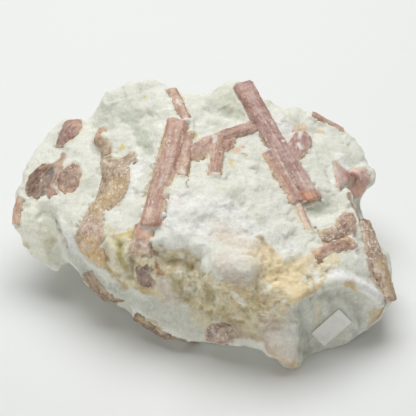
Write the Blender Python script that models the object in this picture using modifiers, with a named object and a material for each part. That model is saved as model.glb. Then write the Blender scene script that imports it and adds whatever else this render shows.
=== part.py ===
"""Rubellite specimen: a hand-sized block of pale feldspar with prisms of pink tourmaline set in it.

Lengths below are in millimetres. +X runs along the block's longest side, +Y to its back and +Z up. The block
is a convex hull of its corners with hollows cut from it, lumps and dips worked into it and a broken skin.
"""

import math
import random

import bmesh
import bpy
from mathutils import Vector, geometry, noise
from mathutils.bvhtree import BVHTree

MM = 0.001
FLAT_ANGLE = math.radians(2.5)
TOP_OF_BLOCK = 45
SEAT_REACH = 40

# The block's corners: the points where its broken faces meet.
BACK_RIM = [(-41, 32, 52), (-37, 35, 56), (-29, 36, 58), (-21, 34, 62), (-15, 33, 61), (8, 40, 56.5),
            (13, 39, 56.5), (31, 34, 48), (40, 32, 46), (52, 30, 41)]
LEFT_FLANK = [(-53, 26, 46), (-60, 25, 43), (-65, 17, 40), (-68, 10, 37), (-69, -1, 34), (-72, -5, 31),
              (-72, -10, 27), (-69, -14, 20), (-65, -16, 15), (-60, -16, 14)]
RIGHT_FLANK = [(57, 26, 38), (62, 15, 33), (64, 11, 30), (61, -10, 22), (66, -19, 18), (66.5, -28, 14),
               (67, -33, 11), (65, -36, 8)]
FRONT_BROW = [(-47, -23, 27), (-40, -33, 22), (-29, -40, 20), (-20, -43, 37), (-8, -47, 41), (11, -54, 38),
              (27, -57, 33), (47, -47, 29), (59, -45, 21)]
FRONT_FOOT = [(-44, -27, 13), (-39, -33, 9), (-30, -36, 9), (-24, -42, 6), (-13, -48, 4), (2, -51, 4),
              (26, -60, 1), (32, -60, 0), (37, -54, 0), (50, -49, 0), (61, -41, 5)]
BACK_FOOT = [(-50, 34, 22), (-20, 46, 26), (15, 48, 22), (44, 38, 16), (-30, 39, 8), (0, 44, 5), (34, 35, 4)]
BASE = [(-36, -18, -2), (-38, 8, -2), (-22, 28, -2), (24, 30, -2), (46, 8, -2), (51, -36, -2), (-8, -42, -2),
        (32, -55, -2)]

# Hollows broken out of the block, each the convex hull of its corners.
FRONT_HOLLOW = [(35, -54, -5), (43, -50.5, -5), (52, -48.5, -5), (33, -50, 14), (35, -49, 22),
                (42, -45.5, 26), (50, -42, 23), (56, -40, 14), (55, -43.5, 3), (26.5, -66, 19),
                (30, -67, -5), (28, -64, 31), (38, -60, 35), (48, -56, 35), (62, -52, 27),
                (66, -48, 20), (62, -58, -5)]
LEFT_CREASE = [(-60, -8, 36), (-55.5, -13, 28), (-53.5, -13, 17), (-63, -30, 30), (-62, -32, 13),
               (-50, -34, 26), (-50, -30, 14), (-56, -30, 36)]
LEFT_UNDERCUT = [(-54, -12, 14.5), (-48.7, -20, 13), (-44, -24, 9.5), (-38, -27, -5), (-62, -15, 10),
                 (-72, -14, 11.5), (-50, 10, 4), (-44, 12, -5), (-62, 12, 5), (-75, 10, -5), (-62, -30, 10),
                 (-50, -36, 10), (-44, -40, -5), (-75, -30, -5)]
FRONT_UNDERCUT = [(-18, -45, 1.5), (2, -50, 4.5), (11, -51, 6.5), (19, -53, 6), (25, -58, 3), (26, -66, 2),
                  (12, -66, 8), (-14, -62, 6), (-18, -40, -6), (24, -44, -6), (27, -56, -6), (26, -68, -6),
                  (-14, -66, -6)]
LOW_LEFT_UNDERCUT = [(-52, -20, 16.5), (-50, -24.8, 21.5), (-44.4, -30, 17.5), (-39.4, -33.4, 10.5),
                     (-52, -4.2, 4.2), (-50, -9, 9.2), (-44.4, -14.2, 5.2), (-39.4, -17.6, -1.8),
                     (-53, -36, 15), (-44, -44, 10), (-40, -40, -5), (-52, -10, -5)]
HOLLOWS = [FRONT_HOLLOW, LEFT_CREASE, LEFT_UNDERCUT, LOW_LEFT_UNDERCUT, FRONT_UNDERCUT]

# Lumps and dips worked into the block: name, start, end, reach, push.
FEATURES = [
    ("saddle", (-9, 39, 58), (-4, 38, 57), 14, (0, -3, -6)),
    ("top knob", (-27, 30, 57), (-17, 30, 59), 15, (0, 0, -1.5)),
    ("dip right of the knob", (-23, 7, 53), (-21, 16, 55), 9, (0, 0, -3)),
    ("dip left of the knob", (-45, 28, 51), (-42, 22, 50), 11, (2, -2, -4.5)),
    ("back bump", (6, 37, 56), (10, 37, 56), 9, (0, 0, -0.7)),
    ("dip right of the bump", (23, 35, 51), (27, 34, 50), 9, (0, -1, -2.5)),
    ("crease of the bump", (3, 21, 54), (12, 20, 54), 5, (0, 0, -3)),
    ("left valley", (-33, 2, 46), (-42, -14, 39), 10, (0, 0, -2.5)),
    ("white mass", (-9, -24, 46), (8, -20, 46), 18, (0, 0, 2.5)),
    ("right flank hollow", (61, -1, 29), (62, -8, 24), 12.5, (-11, 0, -1.5)),
    ("hollow under the right prism", (38, -15, 38), (42, -13, 36), 8, (0, 0, -4.5)),
    ("right shoulder", (45, -38, 31), (50, -34, 29), 10, (0, -1, 2)),
    ("olive recess", (-14, -45, 40), (-5, -47, 40), 9, (1, 4, -5)),
    ("pale step", (7, -49, 38), (11, -49, 38), 9, (0, -2, 2.5)),
    ("brow dip", (20, -52, 35), (24, -52, 34), 8, (0, 3, -3)),
    ("scarp hollow", (-6, -50, 24), (8, -53, 22), 13, (0, 4, 0)),
    ("foot lump", (21, -57, 13), (26, -58, 8), 9, (0, -2, 0)),
    ("lower left notch", (-32, -35, 8), (-29, -37, 9), 6, (2, 5, 3)),
    ("back ledge", (-30, 40, 32), (6, 46, 30), 12, (0, 3, -1)),
    ("back hollow", (26, 40, 30), (36, 37, 26), 15, (0, -6, 0)),
    ("back left hollow", (-46, 36, 34), (-42, 38, 26), 12, (2, -4, 0)),
]

# The crystals. A prism has a line along its outer face, a width, a thickness, a height above the
# rock and a seed. A chip is a broken piece of crystal: its outline, height, depth and a seed.
TOP_SIDE = (0, -0.15, 1)
LEFT_SIDE = (-0.75, -0.35, 0.55)
LEFT_TOP = (-0.4, -0.25, 0.88)
LEFT_FRONT = (-0.55, -0.7, 0.45)
FRONT_LEFT = (-0.5, -0.85, 0.1)
FRONT_SIDE = (-0.2, -0.97, 0.1)
BACK_TOP = (0.3, 0.3, 0.9)
RIGHT_TOP = (0.45, -0.2, 0.87)
RIGHT_SIDE = (0.75, -0.25, 0.6)

LEFT_PRISM = [
    ("prism", TOP_SIDE, [(-10.6, 13), (-15.3, -12.5), (-19.6, -33.5)], 7.8, 9, 1.5, 1),
    ("prism", TOP_SIDE, [(-7.6, 8), (-9.3, -13.5)], 5.0, 6, 0.8, 2),
    ("prism", TOP_SIDE, [(-21.4, -32), (-22.8, -42)], 7.4, 8, 0.8, 3),
]
RIGHT_PRISM = [
    ("prism", TOP_SIDE, [(13.4, 35.2), (24.2, 11), (37.4, -12.6)], 7.4, 8.5, 2.0, 4),
    ("prism", TOP_SIDE, [(22, 5.5), (31.4, -15.5)], 5.6, 6, 1.2, 5),
    ("prism", TOP_SIDE, [(31.4, -14), (35.2, -28.5)], 2.6, 4, 0.5, 6),
    ("chip", TOP_SIDE, [(28, 9), (32, 15.6), (32.6, 19.5), (36, 21.5), (38.4, 18), (38, 13), (35, 7),
                        (33, 4)], 0.9, 5, 7),
]
CROSS_PRISM = [("prism", TOP_SIDE, [(16.5, 16.8), (6, 10)], 3.8, 5, 0.7, 9)]
FORKED_CRYSTAL = [
    ("chip", TOP_SIDE, [(-7, -1), (-5.4, 1.8), (-1.4, 6.8), (1.8, 8), (1.6, 3), (0.5, -1), (-3.7, -5),
                        (-6, -4.4)], 0.9, 4, 10),
    ("prism", TOP_SIDE, [(3.6, 9.5), (2.3, -11.5)], 4.8, 5, 0.8, 11),
    ("chip", TOP_SIDE, [(1, 8), (5, 11.4), (9, 14), (10.4, 10), (9.2, 5.2), (6.5, 2), (3.8, 1.6)],
     0.8, 4, 12),
]
RIDGE_CRYSTAL = [
    ("prism", TOP_SIDE, [(-13.4, 31.5), (-11.2, 25.5), (-10, 19.5), (-8, 14.5)], 3.4, 4, 0.7, 13),
]
UPPER_LEFT_CRYSTAL = [
    ("chip", LEFT_TOP, [(-53.6, 25, 46.5), (-51.5, 26.4, 46.6), (-47.6, 27, 46), (-47, 22, 46),
                        (-48.2, 18.8, 46), (-50, 16, 45.6), (-53.8, 13.6, 43), (-56, 14.2, 42.6),
                        (-55, 18.5, 44.2)], 0.8, 5, 14),
]
DARK_CRYSTAL = [
    ("chip", LEFT_TOP, [(-65.6, -5.3, 35), (-66, -1, 35.7), (-65, 3.6, 37), (-60.8, 7.4, 39.6),
                        (-56.2, 6, 40.3), (-54.8, 1.4, 40), (-56.2, -3.6, 38), (-60.5, -6, 35.8),
                        (-62, -6.8, 35.2)], 0.8, 6, 15),
    ("prism", LEFT_TOP, [(-57.4, -3.5, 37.5), (-55.6, -8.2, 37)], 2.8, 4, 0.6, 16),
]
ROUND_CRYSTAL = [
    ("chip", LEFT_TOP, [(-54.2, -1.7, 39.4), (-53.7, 1, 40.5), (-51.2, 3.2, 41), (-48.2, 4.8, 42),
                        (-46.2, 2.4, 42.4), (-45.6, -1, 42.2), (-46, -6, 39.8), (-48.1, -8.8, 39.1),
                        (-50.8, -9.2, 38.8), (-53.4, -6, 38.7)], 0.8, 5, 17),
]
LEFT_EDGE_CRYSTAL = [
    ("prism", LEFT_SIDE, [(-67.3, -4.8, 33.4), (-69.1, -7.6, 30), (-68.8, -11.4, 26)], 4.6, 5, 0.5, 18),
]
CURVED_CRYSTAL = [
    ("prism", LEFT_TOP, [(-38.2, 18.4, 48), (-39.6, 15.5, 46.5), (-39, 11.5, 46.5), (-37.4, 7.4, 47),
                         (-36.8, 4.2, 46)], 3.8, 4, 0.7, 19),
]
LEFT_BAND = [
    ("prism", LEFT_TOP, [(-25.6, -0.6, 48.8), (-34, -2.2, 44.5)], 5.6, 5, 0.6, 20),
    ("chip", LEFT_TOP, [(-38.8, 3, 45), (-34.8, 3, 45.5), (-31, 0.2, 46.5), (-27.6, -5.7, 47),
                        (-27.6, -11.8, 45.7), (-31.9, -13, 43.4), (-37.5, -8, 41)], 0.8, 5, 21),
    ("chip", LEFT_TOP, [(-38, -5.5, 41.3), (-33, -6, 43), (-28, -11.2, 45.6), (-28.3, -14.6, 44.3),
                        (-29.6, -17.6, 43.4), (-34, -20.4, 40), (-40.3, -16, 37.6),
                        (-39.2, -11.3, 39.2)], 0.8, 6, 22),
    ("chip", LEFT_FRONT, [(-40.8, -13.6, 38), (-36, -15, 40.4), (-36.1, -29.8, 36), (-36.8, -32.8, 32.1),
                          (-35.6, -34.7, 26.5), (-38.5, -32.9, 25.8), (-42.1, -30.6, 27.6),
                          (-44.9, -28, 30), (-46.3, -25.7, 32.6), (-44.2, -23.2, 36)], 0.9, 6, 23),
]
FRONT_LEFT_CHUNK = [
    ("chip", FRONT_LEFT, [(-24.3, -41, 31.2), (-22.2, -43, 34), (-19.9, -43.6, 34), (-19.1, -43.9, 30.3),
                          (-18.2, -43.7, 26), (-19.7, -43.1, 24.2), (-22.4, -42.3, 24.3),
                          (-24, -41.4, 27.2)], 0.8, 5, 24),
]
LOW_LEFT_CRYSTAL = [
    ("prism", FRONT_LEFT, [(-42, -31.3, 20.6), (-39.4, -33, 16.4), (-35.4, -35.4, 13), (-32.4, -35.6, 10)],
     4.0, 5, 0.7, 25),
]
LOW_FRONT_CRYSTAL = [
    ("prism", FRONT_SIDE, [(-25.6, -42, 8.8), (-20.4, -44.4, 6.9), (-13.6, -48, 5.4)], 3.0, 4, 0.3, 26),
]
BACK_RIM_CRYSTAL = [
    ("prism", BACK_TOP, [(39.5, 31.4, 46), (44.4, 29.6, 44), (51.5, 28.4, 41)], 2.8, 4, 0.6, 27),
]
RIGHT_CLUSTER = [
    ("chip", RIGHT_TOP, [(46.6, 9.5, 39.2), (50, 7.6, 37), (53.4, 6, 35.6), (52.6, -2.6, 34.6),
                         (47, -4.8, 37.2)], 0.7, 5, 28),
    ("chip", RIGHT_SIDE, [(50.6, 6.4, 36), (54.6, 10.4, 35), (58.2, 12, 34.3), (60.2, 9.4, 31.5),
                          (58.8, 5.6, 29.4), (56.5, 2.6, 28.5), (51.6, 0.6, 32)], 0.9, 6, 29),
]
RIGHT_EDGE_PRISM = [
    ("prism", RIGHT_TOP, [(56, -15, 30), (58, -26, 26.5), (60.6, -34, 21.6), (63.4, -39.6, 15)],
     6.0, 7, 0.7, 31),
]
LOWER_RIGHT_CRYSTAL = [
    ("chip", RIGHT_TOP, [(46.2, -18.8, 35.2), (48.8, -15.2, 34.7), (51.6, -14.4, 34), (52.6, -17.2, 33),
                         (51.6, -23.6, 32.4), (48, -27, 32.8), (44.4, -25.6, 34.4)], 0.8, 5, 32),
    ("chip", RIGHT_TOP, [(46.8, -21, 34.9), (42.7, -24.6, 35.5), (38.8, -27.7, 36.1), (39.4, -30.6, 35.3),
                         (42.4, -31, 34.2), (48.4, -27, 32.8), (50.6, -22.6, 32.7)], 0.8, 5, 33),
]
ORANGE_RIMMED_PRISM = [
    ("prism", RIGHT_TOP, [(36.6, -38.8, 33.6), (43.5, -34.2, 34), (50.2, -29.6, 32.6)], 5.0, 6, 0.8, 34),
]
FOOT_CRYSTAL = [
    ("chip", FRONT_SIDE, [(-0.6, -51.2, 11.4), (1.2, -50.8, 14.2), (5, -51, 15), (8.6, -51.8, 14.2),
                          (9.8, -53.8, 12), (8.2, -54.6, 9), (4.2, -51.3, 5.6), (-0.2, -51, 7)],
     0.6, 5, 35),
]

# Colours as linear red, green and blue.
MATRIX_COLOUR = (0.72, 0.75, 0.69)
LABEL_COLOUR = (0.78, 0.78, 0.76)
ROSE = (0.46, 0.23, 0.18)
MAUVE = (0.36, 0.17, 0.14)
TAN_PINK = (0.42, 0.23, 0.17)
WINE = (0.12, 0.05, 0.04)
WINE_BROWN = (0.19, 0.09, 0.07)
BROWN_PINK = (0.31, 0.16, 0.12)
BROWN = (0.27, 0.18, 0.13)
DARK_BROWN = (0.16, 0.1, 0.08)
OCHRE_PINK = (0.42, 0.29, 0.18)
PALE_MAUVE = (0.38, 0.26, 0.23)
MATRIX_ROUGHNESS = 0.75
CRYSTAL_ROUGHNESS = 0.5
LABEL_ROUGHNESS = 0.85

# Node name, its pieces, the nodes it grew against and its colour.
CRYSTALS = [
    ("right_prism", RIGHT_PRISM, [], MAUVE),
    ("left_prism", LEFT_PRISM, [], ROSE),
    ("cross_prism", CROSS_PRISM, ["right_prism"], MAUVE),
    ("forked_crystal", FORKED_CRYSTAL, ["left_prism", "cross_prism"], ROSE),
    ("ridge_crystal", RIDGE_CRYSTAL, ["left_prism"], TAN_PINK),
    ("upper_left_crystal", UPPER_LEFT_CRYSTAL, [], TAN_PINK),
    ("dark_crystal", DARK_CRYSTAL, [], WINE),
    ("round_crystal", ROUND_CRYSTAL, ["dark_crystal"], BROWN_PINK),
    ("left_edge_crystal", LEFT_EDGE_CRYSTAL, ["dark_crystal"], TAN_PINK),
    ("curved_crystal", CURVED_CRYSTAL, [], BROWN),
    ("left_band_crystal", LEFT_BAND, ["curved_crystal"], OCHRE_PINK),
    ("front_left_chunk", FRONT_LEFT_CHUNK, ["left_prism"], DARK_BROWN),
    ("low_left_crystal", LOW_LEFT_CRYSTAL, ["left_band_crystal"], BROWN),
    ("low_front_crystal", LOW_FRONT_CRYSTAL, [], BROWN),
    ("back_rim_crystal", BACK_RIM_CRYSTAL, [], TAN_PINK),
    ("right_cluster", RIGHT_CLUSTER, [], WINE_BROWN),
    ("right_edge_prism", RIGHT_EDGE_PRISM, ["right_cluster"], BROWN_PINK),
    ("lower_right_crystal", LOWER_RIGHT_CRYSTAL, ["right_edge_prism"], BROWN_PINK),
    ("orange_rimmed_prism", ORANGE_RIMMED_PRISM, ["lower_right_crystal", "right_edge_prism"], BROWN_PINK),
    ("foot_crystal", FOOT_CRYSTAL, [], PALE_MAUVE),
]

GAP = 0.3
PRISM_SIDES = 10
SQUARENESS = 0.5
CORNER_JITTER = 0.03
RING_SPACING = 14.0
END_JITTER = 0.5
LIFT_STEPS = 6
LIFT_SHARE = 0.6

# A chip's flat top and its buried foot are smaller than its outline. Shares of its size, height and depth.
CHIP_RIM_HEIGHT = (0.2, 0.5)
CHIP_TOP_SIZE = (0.7, 0.9)
CHIP_TOP_HEIGHT = (0.75, 1.0)
CHIP_FOOT_SIZE = 0.7
CHIP_FOOT_DEPTH = (0.8, 1.0)

# The blank paper label on the front hollow.
LABEL_LENGTH = 12.7
LABEL_WIDTH = 6.35
LABEL_THICKNESS = 0.3
LABEL_LIFT = 0.45
LABEL_FLAT_REACH = 10.5
LABEL_FLAT_EDGE = 2.5
LABEL_FLAT_DEPTH = 5
LABEL_CENTRE = (43.3, -46.1, 8.3)
LABEL_ALONG = (0.75, 0.28, 0.53)
LABEL_FACING = (0.3, -0.84, 0.44)

HULL_GRID = 2.0
MATRIX_TRIANGLES = 4150
FACET_SIZE = 9.0
FACET_TILT = 0.22
FACET_WANDER = 0.35
CELL_TO_SLOPE = 7.3
SWELL_SIZE = 17.0
SWELL_HEIGHT = 1.3
GRAIN_SIZE = 4.5
GRAIN_HEIGHT = 0.5
FADE_ABOVE_BASE = 5.0
SEED_OFFSET = Vector((37.1, 11.7, 5.3))
NOISE_SEED = 1795480788


def link(obj, collection=None):
    target = collection or bpy.context.scene.collection
    target.objects.link(obj)
    return obj


def hull_object(name, corners):
    mesh = bpy.data.meshes.new(name)
    shape = bmesh.new()
    for corner in corners:
        shape.verts.new(Vector(corner) * MM)
    result = bmesh.ops.convex_hull(shape, input=shape.verts)
    loose = {part for key in ("geom_interior", "geom_unused") for part in result[key]
             if isinstance(part, bmesh.types.BMVert)}
    bmesh.ops.delete(shape, geom=list(loose), context="VERTS")
    bmesh.ops.recalc_face_normals(shape, faces=shape.faces)
    shape.to_mesh(mesh)
    shape.free()
    return link(bpy.data.objects.new(name, mesh))


def bake(obj):
    graph = bpy.context.evaluated_depsgraph_get()
    mesh = bpy.data.meshes.new_from_object(obj.evaluated_get(graph))
    obj.modifiers.clear()
    obj.data = mesh
    return obj


def add_boolean(obj, other, operation):
    step = obj.modifiers.new(operation.lower(), "BOOLEAN")
    step.operation = operation
    step.solver = "EXACT"
    step.use_self = True
    step.object = other


def feature_push(place):
    push = Vector((0, 0, 0))
    for _, start, end, reach, amount in FEATURES:
        nearest, along = geometry.intersect_point_line(place, Vector(start), Vector(end))
        if along < 0:
            nearest = Vector(start)
        elif along > 1:
            nearest = Vector(end)
        far = (place - nearest).length / reach
        if far < 1:
            push += Vector(amount) * (1 - far * far) ** 2
    return push


def label_axes():
    along = Vector(LABEL_ALONG).normalized()
    facing = Vector(LABEL_FACING)
    facing = (facing - along * facing.dot(along)).normalized()
    return along, facing.cross(along), facing


def flatten_for_label(place):
    """Pull the places around the label onto its plane."""
    facing = label_axes()[2]
    offset = place - Vector(LABEL_CENTRE)
    height = offset.dot(facing)
    beside = (offset - facing * height).length
    share = min(max((LABEL_FLAT_REACH - beside) / LABEL_FLAT_EDGE, 0), 1)
    if abs(height) > LABEL_FLAT_DEPTH:
        share = 0
    return place - facing * height * share


def skin_height(place):
    swell = noise.noise((place + SEED_OFFSET) / SWELL_SIZE) * SWELL_HEIGHT
    grain = noise.noise((place - SEED_OFFSET) / GRAIN_SIZE) * GRAIN_HEIGHT
    wandering = place / FACET_SIZE + noise.noise_vector(place / FACET_SIZE) * FACET_WANDER
    cell = noise.voronoi(wandering)[1][0]
    slope = noise.cell_vector(cell * CELL_TO_SLOPE) - Vector((0.5, 0.5, 0.5))
    facet = (wandering - cell).dot(slope) * FACET_SIZE * FACET_TILT
    return swell + grain + facet


def build_block():
    noise.seed_set(NOISE_SEED)
    corners = BACK_RIM + LEFT_FLANK + RIGHT_FLANK + FRONT_BROW + FRONT_FOOT + BACK_FOOT + BASE
    block = hull_object("matrix", corners)
    cutters = [hull_object("hollow", hollow) for hollow in HOLLOWS]
    for cutter in cutters:
        add_boolean(block, cutter, "DIFFERENCE")
    remesh = block.modifiers.new("even grid", "REMESH")
    remesh.mode = "VOXEL"
    remesh.voxel_size = HULL_GRID * MM
    smooth = block.modifiers.new("worn edges", "SMOOTH")
    smooth.iterations = 1
    bake(block)
    for cutter in cutters:
        bpy.data.objects.remove(cutter)
    places = []
    for vertex in block.data.vertices:
        place = vertex.co / MM
        fade = min(max(place.z / FADE_ABOVE_BASE, 0), 1)
        raised = place + (feature_push(place) + vertex.normal * skin_height(place)) * fade
        places.append(flatten_for_label(raised) * MM)
    for vertex, place in zip(block.data.vertices, places):
        vertex.co = place
    thin = block.modifiers.new("fewer triangles", "DECIMATE")
    thin.ratio = MATRIX_TRIANGLES / sum(len(face.vertices) - 2 for face in block.data.polygons)
    bake(block)
    return block


def cut_base(block):
    shape = bmesh.new()
    shape.from_mesh(block.data)
    everything = shape.verts[:] + shape.edges[:] + shape.faces[:]
    down = (0, 0, -1)
    cut = bmesh.ops.bisect_plane(shape, geom=everything, plane_co=(0, 0, 0), plane_no=down, clear_outer=True)
    rim = [part for part in cut["geom_cut"] if isinstance(part, bmesh.types.BMEdge)]
    bmesh.ops.holes_fill(shape, edges=rim, sides=0)
    bmesh.ops.triangulate(shape, faces=shape.faces)
    bmesh.ops.recalc_face_normals(shape, faces=shape.faces)
    shape.to_mesh(block.data)
    shape.free()


def finish_mesh(shape, mesh):
    bmesh.ops.triangulate(shape, faces=shape.faces)
    bmesh.ops.recalc_face_normals(shape, faces=shape.faces)
    shape.to_mesh(mesh)
    shape.free()


def keep_largest(obj):
    shape = bmesh.new()
    shape.from_mesh(obj.data)
    waiting = set(shape.verts)
    bodies = []
    while waiting:
        seed = waiting.pop()
        body = {seed}
        edge_of_body = [seed]
        while edge_of_body:
            vertex = edge_of_body.pop()
            for edge in vertex.link_edges:
                other = edge.other_vert(vertex)
                if other in waiting:
                    waiting.remove(other)
                    body.add(other)
                    edge_of_body.append(other)
        bodies.append(body)
    bodies.sort(key=len)
    loose = [vertex for body in bodies[:-1] for vertex in body]
    bmesh.ops.delete(shape, geom=loose, context="VERTS")
    finish_mesh(shape, obj.data)


def seat(skin, place, out):
    """The point where the skin is met, coming inwards past a place."""
    if len(place) == 2:
        place = (place[0], place[1], TOP_OF_BLOCK)
    start = (Vector(place) + out * SEAT_REACH) * MM
    found = skin.ray_cast(start, -out)[0]
    return found / MM if found else Vector(place)


def lifted(seats, skin, out):
    """Raise a line so that the skin between its seats does not bury it."""
    excess = [0]
    for start, end in zip(seats, seats[1:]):
        for step in range(1, LIFT_STEPS):
            place = start.lerp(end, step / LIFT_STEPS)
            excess.append((seat(skin, place, out) - place).dot(out))
    return [place + out * max(excess) * LIFT_SHARE for place in seats]


def squared_off(value):
    return math.copysign(abs(value) ** SQUARENESS, value)


def prism_object(name, skin, out, line, width, thick, proud, seed):
    chance = random.Random(seed)
    seats = lifted([seat(skin, place, out) for place in line], skin, out)
    stations = []
    for start, end in zip(seats, seats[1:]):
        count = max(1, round((end - start).length / RING_SPACING))
        stations += [start.lerp(end, step / count) for step in range(count)]
    stations.append(seats[-1])
    shape = bmesh.new()
    rings = []
    slants = [Vector((chance.uniform(-1, 1), chance.uniform(-1, 1))) * END_JITTER for _ in range(2)]
    for index, station in enumerate(stations):
        before = stations[max(index - 1, 0)]
        after = stations[min(index + 1, len(stations) - 1)]
        along = (after - before).normalized()
        side = along.cross(out).normalized()
        up = side.cross(along).normalized()
        centre = station + up * (proud - thick / 2)
        ring = []
        for corner in range(PRISM_SIDES):
            angle = 2 * math.pi * corner / PRISM_SIDES
            reach = 1 + chance.uniform(-CORNER_JITTER, CORNER_JITTER)
            across = squared_off(math.cos(angle)) * reach
            height = squared_off(math.sin(angle)) * reach
            place = centre + side * (across * width / 2) + up * (height * thick / 2)
            if index in (0, len(stations) - 1):
                slant = slants[0 if index == 0 else 1]
                place += along * (slant.x * across + slant.y * height)
            ring.append(shape.verts.new(place * MM))
        rings.append(ring)
    for ring, following in zip(rings, rings[1:]):
        for corner in range(PRISM_SIDES):
            beside = (corner + 1) % PRISM_SIDES
            shape.faces.new((ring[corner], ring[beside], following[beside], following[corner]))
    shape.faces.new(rings[0])
    shape.faces.new(rings[-1])
    mesh = bpy.data.meshes.new(name)
    finish_mesh(shape, mesh)
    return link(bpy.data.objects.new(name, mesh))


def chip_object(name, skin, out, outline, proud, depth, seed):
    chance = random.Random(seed)
    seats = [seat(skin, place, out) for place in outline]
    middle = sum(seats, Vector()) / len(seats)
    corners = [seat(skin, middle, out) + out * proud]
    for place in seats:
        corners.append(place + out * proud * chance.uniform(*CHIP_RIM_HEIGHT))
        top = seat(skin, middle.lerp(place, chance.uniform(*CHIP_TOP_SIZE)), out)
        corners.append(top + out * proud * chance.uniform(*CHIP_TOP_HEIGHT))
        corners.append(middle.lerp(place, CHIP_FOOT_SIZE) - out * depth * chance.uniform(*CHIP_FOOT_DEPTH))
    return hull_object(name, corners)


def crystal_pieces(name, skin, pieces):
    made = []
    for kind, out, *shape in pieces:
        build = prism_object if kind == "prism" else chip_object
        made.append(build(name, skin, Vector(out).normalized(), *shape))
    return made


def grown_copy(obj, gap):
    mesh = obj.data.copy()
    shape = bmesh.new()
    shape.from_mesh(mesh)
    shape.normal_update()
    offsets = [vertex.normal * min(vertex.calc_shell_factor(), 2.0) * gap * MM for vertex in shape.verts]
    for vertex, offset in zip(shape.verts, offsets):
        vertex.co += offset
    shape.to_mesh(mesh)
    shape.free()
    return link(bpy.data.objects.new("pocket", mesh))


def merge_pieces(pieces):
    whole = pieces[0]
    for piece in pieces[1:]:
        add_boolean(whole, piece, "UNION")
    bake(whole)
    for piece in pieces[1:]:
        bpy.data.objects.remove(piece)
    keep_largest(whole)
    return whole


def carve(obj, cutters):
    for cutter in cutters:
        add_boolean(obj, cutter, "DIFFERENCE")
    bake(obj)
    keep_largest(obj)


def joined(objects):
    shape = bmesh.new()
    for obj in objects:
        shape.from_mesh(obj.data)
    for obj in objects[1:]:
        bpy.data.objects.remove(obj)
    shape.to_mesh(objects[0].data)
    shape.free()
    return objects[0]


def dissolve_flat(obj):
    shape = bmesh.new()
    shape.from_mesh(obj.data)
    bmesh.ops.dissolve_limit(shape, angle_limit=FLAT_ANGLE, verts=shape.verts, edges=shape.edges)
    finish_mesh(shape, obj.data)


def label_object():
    along, across, facing = label_axes()
    shape = bmesh.new()
    bmesh.ops.create_cube(shape, size=1)
    size = (LABEL_LENGTH, LABEL_WIDTH, LABEL_THICKNESS)
    for vertex in shape.verts:
        place = Vector(LABEL_CENTRE) + facing * LABEL_LIFT
        for axis, step, length in zip((along, across, facing), vertex.co, size):
            place += axis * step * length
        vertex.co = place * MM
    mesh = bpy.data.meshes.new("paper_label")
    finish_mesh(shape, mesh)
    return link(bpy.data.objects.new("paper_label", mesh))


def material(name, colour, roughness):
    made = bpy.data.materials.new(name)
    made.use_nodes = True
    shader = made.node_tree.nodes["Principled BSDF"]
    shader.inputs["Base Color"].default_value = (*colour, 1)
    shader.inputs["Roughness"].default_value = roughness
    made.diffuse_color = (*colour, 1)
    return made


def place_in_frame(parts):
    """Centre the specimen over its origin, with its resting face at z = 0."""
    corners = [vertex.co for part in parts for vertex in part.data.vertices]
    low = Vector([min(corner[axis] for corner in corners) for axis in range(3)])
    high = Vector([max(corner[axis] for corner in corners) for axis in range(3)])
    shift = Vector((-(low.x + high.x) / 2, -(low.y + high.y) / 2, -low.z))
    for part in parts:
        for vertex in part.data.vertices:
            vertex.co += shift


def move_origin_to_middle(part):
    corners = [vertex.co for vertex in part.data.vertices]
    low = Vector([min(corner[axis] for corner in corners) for axis in range(3)])
    high = Vector([max(corner[axis] for corner in corners) for axis in range(3)])
    middle = (low + high) / 2
    for vertex in part.data.vertices:
        vertex.co -= middle
    part.location = middle


def build_crystals(skin):
    crystals = {}
    pockets = {}
    for name, shapes, neighbours, colour in CRYSTALS:
        pieces = crystal_pieces(name, skin, shapes)
        pocket = joined([grown_copy(piece, GAP) for piece in pieces])
        crystal = merge_pieces(pieces)
        if neighbours:
            carve(crystal, [pockets[neighbour] for neighbour in neighbours])
        crystal.data.materials.append(material(name + " tourmaline", colour, CRYSTAL_ROUGHNESS))
        crystals[name] = crystal
        pockets[name] = pocket
    return crystals, pockets


def build_specimen():
    for old in list(bpy.data.objects):
        bpy.data.objects.remove(old)
    block = build_block()
    cut_base(block)
    skin = BVHTree.FromObject(block, bpy.context.evaluated_depsgraph_get())
    crystals, pockets = build_crystals(skin)
    hollow = joined(list(pockets.values()))
    carve(block, [hollow])
    bpy.data.objects.remove(hollow)
    dissolve_flat(block)
    block.data.materials.append(material("feldspar matrix", MATRIX_COLOUR, MATRIX_ROUGHNESS))
    label = label_object()
    label.data.materials.append(material("label paper", LABEL_COLOUR, LABEL_ROUGHNESS))

    parts = [block, *crystals.values(), label]
    place_in_frame(parts)
    specimen = bpy.data.collections.new("rubellite_specimen")
    bpy.context.scene.collection.children.link(specimen)
    for part in parts:
        bpy.context.scene.collection.objects.unlink(part)
        specimen.objects.link(part)
        if part is not block:
            move_origin_to_middle(part)
            part.parent = block


build_specimen()
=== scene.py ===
"""Rubellite specimen: the finished stone, crystals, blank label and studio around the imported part.

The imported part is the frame. Its feldspar block is remeshed finely and given its broken, sugary skin, and
each crystal gets its ribs, chips and sugar. Marks on the specimen are named by the pixels of the 416 x 416
photograph where they show. A ray from the camera finds each one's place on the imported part, so a mark is a
place on the surface and not a picture. Lengths are in millimetres unless a name says otherwise.
"""

import math

import bmesh
import bpy
import numpy as np
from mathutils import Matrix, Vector, noise
from mathutils.bvhtree import BVHTree


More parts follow.
